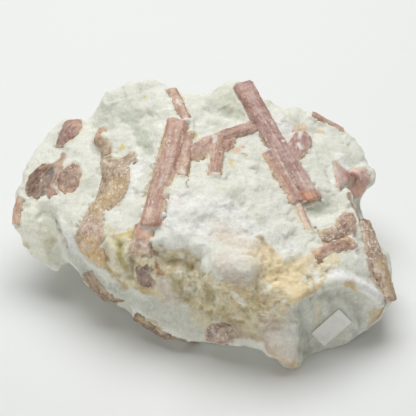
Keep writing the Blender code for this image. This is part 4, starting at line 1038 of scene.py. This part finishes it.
CRYSTALS = {
    "left_prism": (
        "rose_tourmaline", ROSE, 0.55, 0.5,
        [[(178, 120), (168, 165), (150, 235)], [(187, 132), (181, 170)], [(150, 238), (143, 262)]],
        [("rosy top", ROSE, [(175, 119), (176, 128)], 3, 0.6),
         ("ochre left edge", TAN, [(165, 140), (158, 160), (153, 178)], 0.8, 0.8),
         ("mauve body", MAUVE, [(172, 140), (167, 165), (161, 185)], 2.4, 0.25),
         # Painted sheen: a lighter band where the glossy prism reflects the light.
         ("painted sheen", (0.78, 0.63, 0.55), [(172, 148), (167, 166), (162, 184)], 1.3, 0.45),
         ("pale low body", PEACH, [(150, 210), (146, 228)], 1.3, 0.6),
         ("rosy edge", ORANGE, [(143, 215), (139, 228)], 0.9, 0.6),
         ("broken face", (0.76, 0.45, 0.31), [(138, 230), (149, 237)], 1.6, 0.9),
         ("white break", SNOW_AND_PAINTED_LIGHT, [(140, 226), (149, 230), (156, 228)], 0.6, 1.0),
         ("white flakes", SNOW_AND_PAINTED_LIGHT, [(158, 222), (155, 230)], 0.6, 0.8),
         ("white flakes, middle", SNOW_AND_PAINTED_LIGHT, [(163, 178), (161, 186)], 0.5, 0.7),
         ("low piece", (0.50, 0.37, 0.28), [(139, 243), (146, 252)], 2.4, 0.85),
         ("low piece, dark edge", BROWN, [(152, 240), (153, 250)], 0.8, 0.7),
         ("white flakes, low", SNOW_AND_PAINTED_LIGHT, [(141, 242), (145, 246), (148, 250)], 0.45, 0.9),
         ("ochre foot", CREAM, [(138, 254), (150, 258)], 1.4, 0.8),
         ("ochre right edge", TAN, [(186, 160), (180, 176)], 1.4, 0.7),
         ("white knot", SNOW_AND_PAINTED_LIGHT, [(183, 170), (184, 174)], 0.6, 0.9)]),
    "right_prism": (
        "mauve_tourmaline", (0.505, 0.312, 0.288), 0.5, 0.55,
        [[(243, 88), (275, 140), (306, 196)], [(262, 150), (298, 205)], [(297, 200), (309, 232)],
         [(302, 132), (306, 156)]],
        [("pink tip", ROSE, [(241, 86), (246, 94)], 1.8, 0.7),
         ("maroon fleck", MAROON, [(242, 102), (248, 108)], 1.6, 0.75),
         ("brown edge", RUST, [(256, 93), (259, 100)], 1.1, 0.7),
         ("rosy left edge", ORANGE, [(251, 128), (258, 140)], 1.1, 0.6),
         ("orange rim of the blade", (0.68, 0.47, 0.27), [(266, 158), (275, 178), (289, 197)], 0.7, 0.95),
         ("pale line", PEACH, [(274, 150), (284, 170), (296, 190)], 0.5, 0.8),
         ("rusty blade", (0.50, 0.26, 0.16), [(268, 158), (278, 172), (286, 186), (292, 196)], 1.7, 0.7),
         ("orange end face", (0.67, 0.33, 0.19), [(304, 196), (307, 202), (312, 197)], 2.4, 0.95),
         ("end face edge", (0.80, 0.58, 0.40), [(303, 165), (311, 178), (319, 193), (316, 200)], 0.9, 1.0),
         ("white knot", SNOW_AND_PAINTED_LIGHT, [(283, 141), (286, 141)], 0.7, 1.0),
         ("sugar, low", BLUSH, [(300, 176), (309, 188)], 1.4, 0.4),
         ("ring core", SNOW_AND_PAINTED_LIGHT, [(300, 133), (299, 138)], 1.0, 0.9),
         ("ring core, low", SNOW_AND_PAINTED_LIGHT, [(298, 144), (301, 149)], 0.8, 0.9),
         ("vein", (0.82, 0.63, 0.43), [(298, 206), (303, 222), (309, 232)], 1.7, 0.9),
         ("white of the vein", SNOW_AND_PAINTED_LIGHT, [(297, 203), (301, 212), (305, 224)], 0.6, 1.0),
         ("orange of the vein", ORANGE, [(301, 208), (304, 220)], 0.7, 0.9)]),
    "cross_prism": (
        "mauve_tourmaline", (0.46, 0.265, 0.22), 0.4, 0.4, [[(227, 132), (250, 124)]],
        [("white fleck", SNOW_AND_PAINTED_LIGHT, [(222, 132), (226, 133)], 0.8, 0.8)]),
    "forked_crystal": (
        "rose_tourmaline", ROSE, 0.65, 0.4, [[(192, 150), (208, 138), (222, 132)], [(219, 140), (214, 172)]],
        [("dark heart", MAUVE, [(198, 148), (204, 152)], 2.6, 0.6),
         ("ochre lower edge", TAN, [(192, 158), (202, 156)], 0.9, 0.7),
         ("white speck", SNOW_AND_PAINTED_LIGHT, [(206, 136)], 0.8, 0.9),
         ("white wedge", SNOW_AND_PAINTED_LIGHT, [(214, 136), (215, 142)], 1.1, 0.8),
         ("ochre leg edge", CREAM, [(210, 154), (209, 164)], 0.9, 0.8),
         ("mauve foot", MAUVE, [(213, 170), (218, 172)], 1.8, 0.8)]),
    "ridge_crystal": (
        "tan_tourmaline", ROSE, 0.7, 0.4, [[(171, 90), (182, 104), (186, 116)]],
        [("ochre edge", TAN, [(172, 90), (180, 98), (184, 108)], 0.5, 0.8),
         ("white heart", SNOW_AND_PAINTED_LIGHT, [(175, 98), (179, 106)], 0.8, 0.75)]),
    "upper_left_crystal": (
        "tan_tourmaline", (0.40, 0.235, 0.19), 0.25, 0.5, [[(78, 121), (60, 145)]],
        [("rusty top", ORANGE, [(74, 123), (80, 128)], 2.0, 0.4),
         ("mauve low", (0.34, 0.20, 0.17), [(66, 136), (60, 143)], 2.2, 0.7)]),
    "dark_crystal": (
        "wine_tourmaline", WINE, 0.3, 0.6, [[(50, 168), (30, 192)]],
        [("black corner", (0.10, 0.07, 0.06), [(51, 170), (54, 178)], 1.4, 0.8),
         ("rosy lobe", ROSE, [(50, 193), (54, 196)], 1.8, 0.8),
         ("pale glint", SNOW_AND_PAINTED_LIGHT, [(41, 180), (41.5, 181)], 0.3, 0.8),
         ("second glint", SNOW_AND_PAINTED_LIGHT, [(45.5, 183), (46, 184)], 0.3, 0.8),
         ("brown rim", OCHRE, [(40, 168), (48, 165)], 0.7, 0.7),
         ("rosy top", BROWN_PINK, [(50, 167), (56, 170)], 1.2, 0.8)]),
    "round_crystal": (
        "brown_tourmaline", BROWN_PINK, 0.6, 0.35, [[(70, 166), (68, 190)]],
        [("brown heart", BROWN, [(66, 176), (74, 178)], 2.4, 0.45),
         ("rosy edge", ROSE, [(80, 168), (79, 184)], 1.0, 0.6),
         ("orange lower rim", ORANGE, [(78, 188), (68, 193), (60, 188)], 0.9, 0.7)]),
    "left_edge_crystal": (
        "tan_tourmaline", (0.82, 0.58, 0.45), 0.35, 0.4, [[(20, 199), (15, 212), (16, 222)]],
        [("rosy middle", (0.66, 0.38, 0.28), [(18, 204), (15, 216)], 0.9, 0.55),
         ("tan border", TAN, [(22, 200), (20, 212), (19, 222)], 0.7, 0.7)]),
    "curved_crystal": (
        "brown_tourmaline", DUSTY, 0.35, 0.3, [[(105, 126), (99, 140), (106, 156)]],
        [("peach tip", BLUSH, [(103, 125), (108, 123)], 1.4, 0.95),
         ("rosy neck", ORANGE, [(100, 129), (99, 138)], 0.9, 0.7),
         ("dark left edge", BROWN, [(98, 140), (100, 146)], 0.7, 0.7)]),
    "left_band_crystal": (
        "ochre_tourmaline", DUSTY, 0.8, 0.25,
        [[(134, 156), (112, 172)], [(112, 165), (112, 200)], [(104, 205), (96, 225)], [(96, 220), (94, 262)]],
        [("dusty knob", DUSTY, [(132, 155), (122, 166)], 2.4, 0.6),
         ("brown body", BROWN_PINK, [(108, 168), (114, 178)], 3, 0.25),
         ("ochre middle", (0.60, 0.44, 0.20), [(118, 186), (108, 200), (100, 206)], 4, 0.85),
         ("cream grains", CREAM, [(112, 184), (110, 196)], 1.0, 0.5),
         ("brown edge", BROWN, [(104, 176), (104, 188), (98, 200), (92, 212)], 1.0, 0.6),
         ("brown edge, right", (0.42, 0.30, 0.15), [(124, 182), (118, 196), (110, 206)], 1.0, 0.6),
         ("pink neck", (0.46, 0.29, 0.19), [(100, 210), (97, 220)], 2.4, 0.7),
         ("pink body", (0.56, 0.38, 0.29), [(94, 226), (96, 238)], 3.4, 0.8),
         ("ochre foot", (0.80, 0.57, 0.25), [(88, 248), (96, 254), (103, 262)], 4.0, 0.95),
         ("orange edge", ORANGE, [(80, 246), (84, 258), (92, 268)], 1.0, 0.6),
         ("white grains", SNOW_AND_PAINTED_LIGHT, [(83, 243), (90, 247)], 0.9, 0.9),
         ("white grains of the body", SNOW_AND_PAINTED_LIGHT, [(90, 222), (96, 230)], 0.6, 0.8)]),
    "front_left_chunk": (
        "wine_tourmaline", (0.235, 0.15, 0.115), 0.55, 0.35, [[(142, 268), (150, 284)]],
        [("maroon", (0.24, 0.13, 0.11), [(139, 272), (146, 280)], 2, 0.5)]),
    "low_left_crystal": (
        "brown_tourmaline", (0.33, 0.235, 0.155), 0.5, 0.3, [[(88, 276), (96, 290), (112, 298)]],
        [("ochre edge", OCHRE, [(88, 274), (91, 284), (96, 294)], 1.0, 0.8),
         ("ochre tip", OCHRE, [(110, 294), (118, 298)], 1.4, 0.8)]),
    "low_front_crystal": (
        "brown_tourmaline", BROWN, 0.3, 0.3, [[(140, 318), (152, 325), (165, 332)]],
        [("ochre end", OCHRE, [(138, 317), (143, 320)], 1.0, 0.7)]),
    "back_rim_crystal": (
        "tan_tourmaline", ROSE, 0.3, 0.4, [[(314, 115), (324, 121), (344, 127)]],
        [("pale ends", PEACH, [(330, 123), (345, 127)], 1.2, 0.7)]),
    "right_cluster": (
        "wine_tourmaline", (0.80, 0.50, 0.44), 0.35, 0.5,
        [[(340, 180), (342, 190)], [(350, 170), (362, 195)]],
        [("maroon patch", (0.42, 0.19, 0.155), [(350, 177), (357, 183)], 2.4, 1.0),
         ("white streaks", SNOW_AND_PAINTED_LIGHT, [(354, 171), (360, 178)], 0.6, 1.0),
         ("white streaks, low", SNOW_AND_PAINTED_LIGHT, [(358, 182), (360, 189)], 0.45, 0.9),
         ("mauve face", (0.74, 0.50, 0.48), [(361, 172), (367, 179)], 2.0, 0.8),
         ("orange side", (0.95, 0.54, 0.40), [(359, 187), (364, 197)], 2.0, 1.0),
         ("mauve wing", (0.62, 0.48, 0.44), [(337, 166), (341, 180), (342, 190)], 2.2, 0.9),
         ("snow top", SNOW_AND_PAINTED_LIGHT, [(349, 168), (360, 168)], 1.0, 0.7)]),
    "right_edge_prism": (
        "brown_tourmaline", (0.46, 0.32, 0.235), 0.75, 0.2,
        [[(364, 230), (372, 256), (382, 285)]],
        [("brown middle", (0.38, 0.265, 0.19), [(365, 226), (369, 240), (374, 256)], 2.6, 0.8),
         ("ochre grains", OCHRE, [(378, 262), (384, 276)], 1.3, 0.8),
         ("gold grains", (0.66, 0.50, 0.26), [(384, 284), (388, 292)], 1.3, 0.8),
         ("white grains", SNOW_AND_PAINTED_LIGHT, [(378, 270), (383, 284), (388, 294)], 0.5, 0.9),
         ("ochre of the lower end", (0.60, 0.44, 0.24), [(380, 266), (388, 288)], 3.0, 0.5),
         ("ochre outer rim", OCHRE, [(386, 272), (391, 290)], 1.2, 0.8),
         ("cream flecks", CREAM, [(381, 278), (386, 292)], 1.2, 0.7),
         ("orange knob", (0.62, 0.42, 0.20), [(391, 297)], 1.4, 0.8)]),
    "lower_right_crystal": (
        "brown_tourmaline", (0.38, 0.25, 0.19), 0.8, 0.2, [[(347, 222), (336, 236), (322, 238)]],
        [("maroon shade", (0.28, 0.15, 0.12), [(347, 230), (335, 238), (324, 242)], 1.2, 0.75),
         ("tan corner", (0.60, 0.49, 0.31), [(320, 234), (328, 230), (336, 225)], 1.4, 0.85),
         ("brown lower edge", BROWN, [(318, 241), (328, 243)], 0.7, 0.7),
         ("rose top", ROSE, [(345, 219), (351, 224)], 2.2, 0.6)]),
    "orange_rimmed_prism": (
        "brown_tourmaline", (0.46, 0.28, 0.20), 0.45, 0.35, [[(315, 254), (350, 243)]],
        [("orange rim", (0.74, 0.50, 0.29), [(315, 253), (326, 243), (338, 239), (352, 241)], 1.2, 0.95),
         ("cream end", CREAM, [(352, 244), (356, 249)], 1.0, 0.8)]),
    "foot_crystal": (
        "mauve_tourmaline", (0.40, 0.29, 0.24), 0.8, 0.3, [[(214, 326), (218, 340)]],
        [("darker left", (0.28, 0.20, 0.165), [(211, 328), (212, 338)], 1.4, 0.6),
         ("pale right", (0.62, 0.50, 0.44), [(219, 331), (221, 338)], 1.3, 0.6),
         ("white grains", SNOW_AND_PAINTED_LIGHT, [(213, 330), (217, 336)], 0.5, 0.8)]),
}


def lengthwise_places(places, lines, drawn_out=LONG_RIBS):
    """Each place in a crystal's own directions: along, shortened by drawn_out, then side and up."""
    best = np.full(len(places), np.inf)
    result = np.zeros_like(places)
    for pixels in lines:
        line = line_on_part(pixels)
        for start, end in zip(line, line[1:]):
            run = end - start
            if run.length < SHORTEST_RUN:
                continue
            along = np.array(run.normalized())
            side = np.cross(along, (0, 0, 1.0))
            side /= max(np.linalg.norm(side), 1e-6)
            up = np.cross(side, along)
            far = distance_to_line(places, [start, end])
            own = np.stack([places @ along / drawn_out, places @ side, places @ up], axis=1)
            closer = far < best
            result[closer] = own[closer]
            best = np.minimum(best, far)
    return result


MATRIX = tree_of([NODES["matrix"]])


def build_crystal(name, slot, colour, sugar, gloss, lines, marks):
    shape = bmesh.new()
    grown(shape, NODES[name], WIDER_GROWTH.get(name, CRYSTAL_GROWTH))
    crystal = fine_mesh("fine_" + name, shape, CRYSTAL_VOXEL, CRYSTAL_SMOOTHING)
    mesh = crystal.data
    places, facing = places_of(mesh), normals_of(mesh)
    ribs = lengthwise_places(places, lines, LONG_RIBS if gloss >= GLASSY else SHORT_RIBS)
    height = relief_at(ribs, RIBS) + relief_at(places, CHIPS)
    height += relief_at(places, SUGAR) * (LEAST_SUGAR + sugar)
    raised = places + facing * height[:, None]
    raised[:, 2] = np.maximum(raised[:, 2], ABOVE_FLOOR)
    tint, cover = tint_of(warped(raised, CRYSTAL_WANDER), marks, colour)
    wide = cover[:, None]
    store(mesh, "tint", np.array(colour) * (1 - wide) + tint * wide)
    store(mesh, "cover", cover)
    store(mesh, "lengthwise", ribs)
    store(mesh, "rim", rim_share(raised, MATRIX))
    move_to(mesh, raised)
    smooth_shaded(mesh)
    mesh.materials.append(tourmaline_material(name + "_tourmaline", sugar, gloss))
    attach(crystal, "root")
    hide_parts(name)


# ---------------------------------------------------------------------------------------------------------
# The label
# ---------------------------------------------------------------------------------------------------------

LABEL_STEPS = (36, 18)
LABEL_CORNER = 0.5
LABEL_PAPER = 0.16
LABEL_WAVE = 0.12
LABEL_WAVE_SIZE = (4, 3)
LABEL_WAVE_PLACE = 2.0
LABEL_CURL = (0.05, 0.03)
LABEL_MIDDLE = 0.6


def label_frame():
    """The label's centre, and its directions along, across and off the stone, with its half sizes."""
    places = places_of(NODES["paper_label"].data)
    centre = (places.min(axis=0) + places.max(axis=0)) / 2
    _, axes = np.linalg.eigh(np.cov((places - centre).T))
    facing, across, along = axes.T
    if facing @ np.array(camera_place() - Vector(centre)) < 0:
        facing = -facing
    along = np.cross(across, facing)
    half = [np.abs((places - centre) @ axis).max() for axis in (along, across, facing)]
    return centre, (along, across, facing), half


def label_line():
    centre, (along, _, _), half = label_frame()
    reach = along * half[0] * LABEL_MIDDLE
    return [Vector(centre - reach), Vector(centre + reach)]


def build_label():
    """A blank paper sheet, a little wavy, with rounded corners."""
    centre, (along, across, facing), half = label_frame()
    shape = bmesh.new()
    bmesh.ops.create_grid(shape, x_segments=LABEL_STEPS[0], y_segments=LABEL_STEPS[1], size=1)
    for vertex in shape.verts:
        x, y = vertex.co.x * half[0], vertex.co.y * half[1]
        inner = (half[0] - LABEL_CORNER, half[1] - LABEL_CORNER)
        over = Vector((max(abs(x) - inner[0], 0), max(abs(y) - inner[1], 0)))
        if over.length > LABEL_CORNER and over.x and over.y:
            over *= LABEL_CORNER / over.length
            x = math.copysign(inner[0] + over.x, x)
            y = math.copysign(inner[1] + over.y, y)
        bent = Vector((x / LABEL_WAVE_SIZE[0], y / LABEL_WAVE_SIZE[1], LABEL_WAVE_PLACE))
        wave = noise.noise(bent) * LABEL_WAVE
        curl = LABEL_CURL[0] * (x / half[0]) ** 4 + LABEL_CURL[1] * (y / half[1]) ** 4
        place = centre + along * x + across * y + facing * (wave + curl)
        vertex.co = Vector(place) * MM
    mesh = mesh_from(shape, "label_sheet")
    label = new_object("label_sheet", mesh)
    thick = label.modifiers.new("paper", "SOLIDIFY")
    thick.thickness = LABEL_PAPER * MM
    thick.offset = 0
    smooth_shaded(mesh)
    mesh.materials.append(paper_material())
    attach(label, "root")
    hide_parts("paper_label")


# ---------------------------------------------------------------------------------------------------------
# The studio
# ---------------------------------------------------------------------------------------------------------

FLOOR_RADIUS_M = 3.0
FLOOR_DROP = 0.02
FLOOR_SIDES = 96
FLOOR_COLOUR = (0.845, 0.855, 0.85)
FLOOR_SHADE = tuple(part * 0.99 for part in FLOOR_COLOUR)
SKY_COLOUR = (1.0, 0.985, 0.93, 1)
SKY_STRENGTH = 0.255
WHITE = (1, 1, 1)
COOL_WHITE = (0.985, 0.995, 1.0)


def build_floor():
    shape = bmesh.new()
    bmesh.ops.create_circle(shape, cap_ends=True, segments=FLOOR_SIDES, radius=FLOOR_RADIUS_M)
    floor = new_object("floor", mesh_from(shape, "floor"))
    floor.location.z = -FLOOR_DROP * MM
    nodes = Nodes("floor")
    nodes.surface({
        "Base Color": nodes.mix(nodes.noise(60, 2), FLOOR_COLOUR, FLOOR_SHADE),
        "Roughness": 0.6,
        "Specular IOR Level": 0.2})
    floor.data.materials.append(nodes.material)


def add_softbox(name, place, target, width, height, watts, colour):
    """Place, target and sizes are in metres."""
    light = bpy.data.lights.new(name, "AREA")
    light.shape = "RECTANGLE"
    light.size, light.size_y = width, height
    light.energy = watts
    light.color = colour
    lamp = new_object(name, light)
    lamp.location = place
    lamp.rotation_euler = (Vector(target) - Vector(place)).to_track_quat("-Z", "Y").to_euler()


def build_studio():
    world = bpy.data.worlds.new("studio")
    bpy.context.scene.world = world
    world.use_nodes = True
    sky = world.node_tree.nodes["Background"]
    sky.inputs["Color"].default_value = SKY_COLOUR
    sky.inputs["Strength"].default_value = SKY_STRENGTH
    add_softbox("overhead", place=(-0.04, 0.29, 0.86), target=(0, 0, 0), width=0.85, height=0.6,
                watts=7.5, colour=COOL_WHITE)
    add_softbox("front_fill", place=(-0.32, -1.06, 0.14), target=(0, 0, 0.02), width=1.8, height=0.24,
                watts=3.1, colour=WHITE)
    build_floor()


def build_camera():
    camera = bpy.data.cameras.new("photo")
    camera.sensor_width = SENSOR_WIDTH
    camera.lens = FOCAL_PIXELS * SENSOR_WIDTH / PHOTO_SIZE
    made = new_object("photo", camera)
    made.location = camera_place() * MM
    made.rotation_euler = (CAMERA_TARGET - camera_place()).to_track_quat("-Z", "Y").to_euler()
    bpy.context.scene.camera = made


bpy.context.scene.view_settings.view_transform = "Standard"
build_camera()
build_studio()
build_stone()
for crystal_name, crystal_looks in CRYSTALS.items():
    build_crystal(crystal_name, *crystal_looks)
build_label()
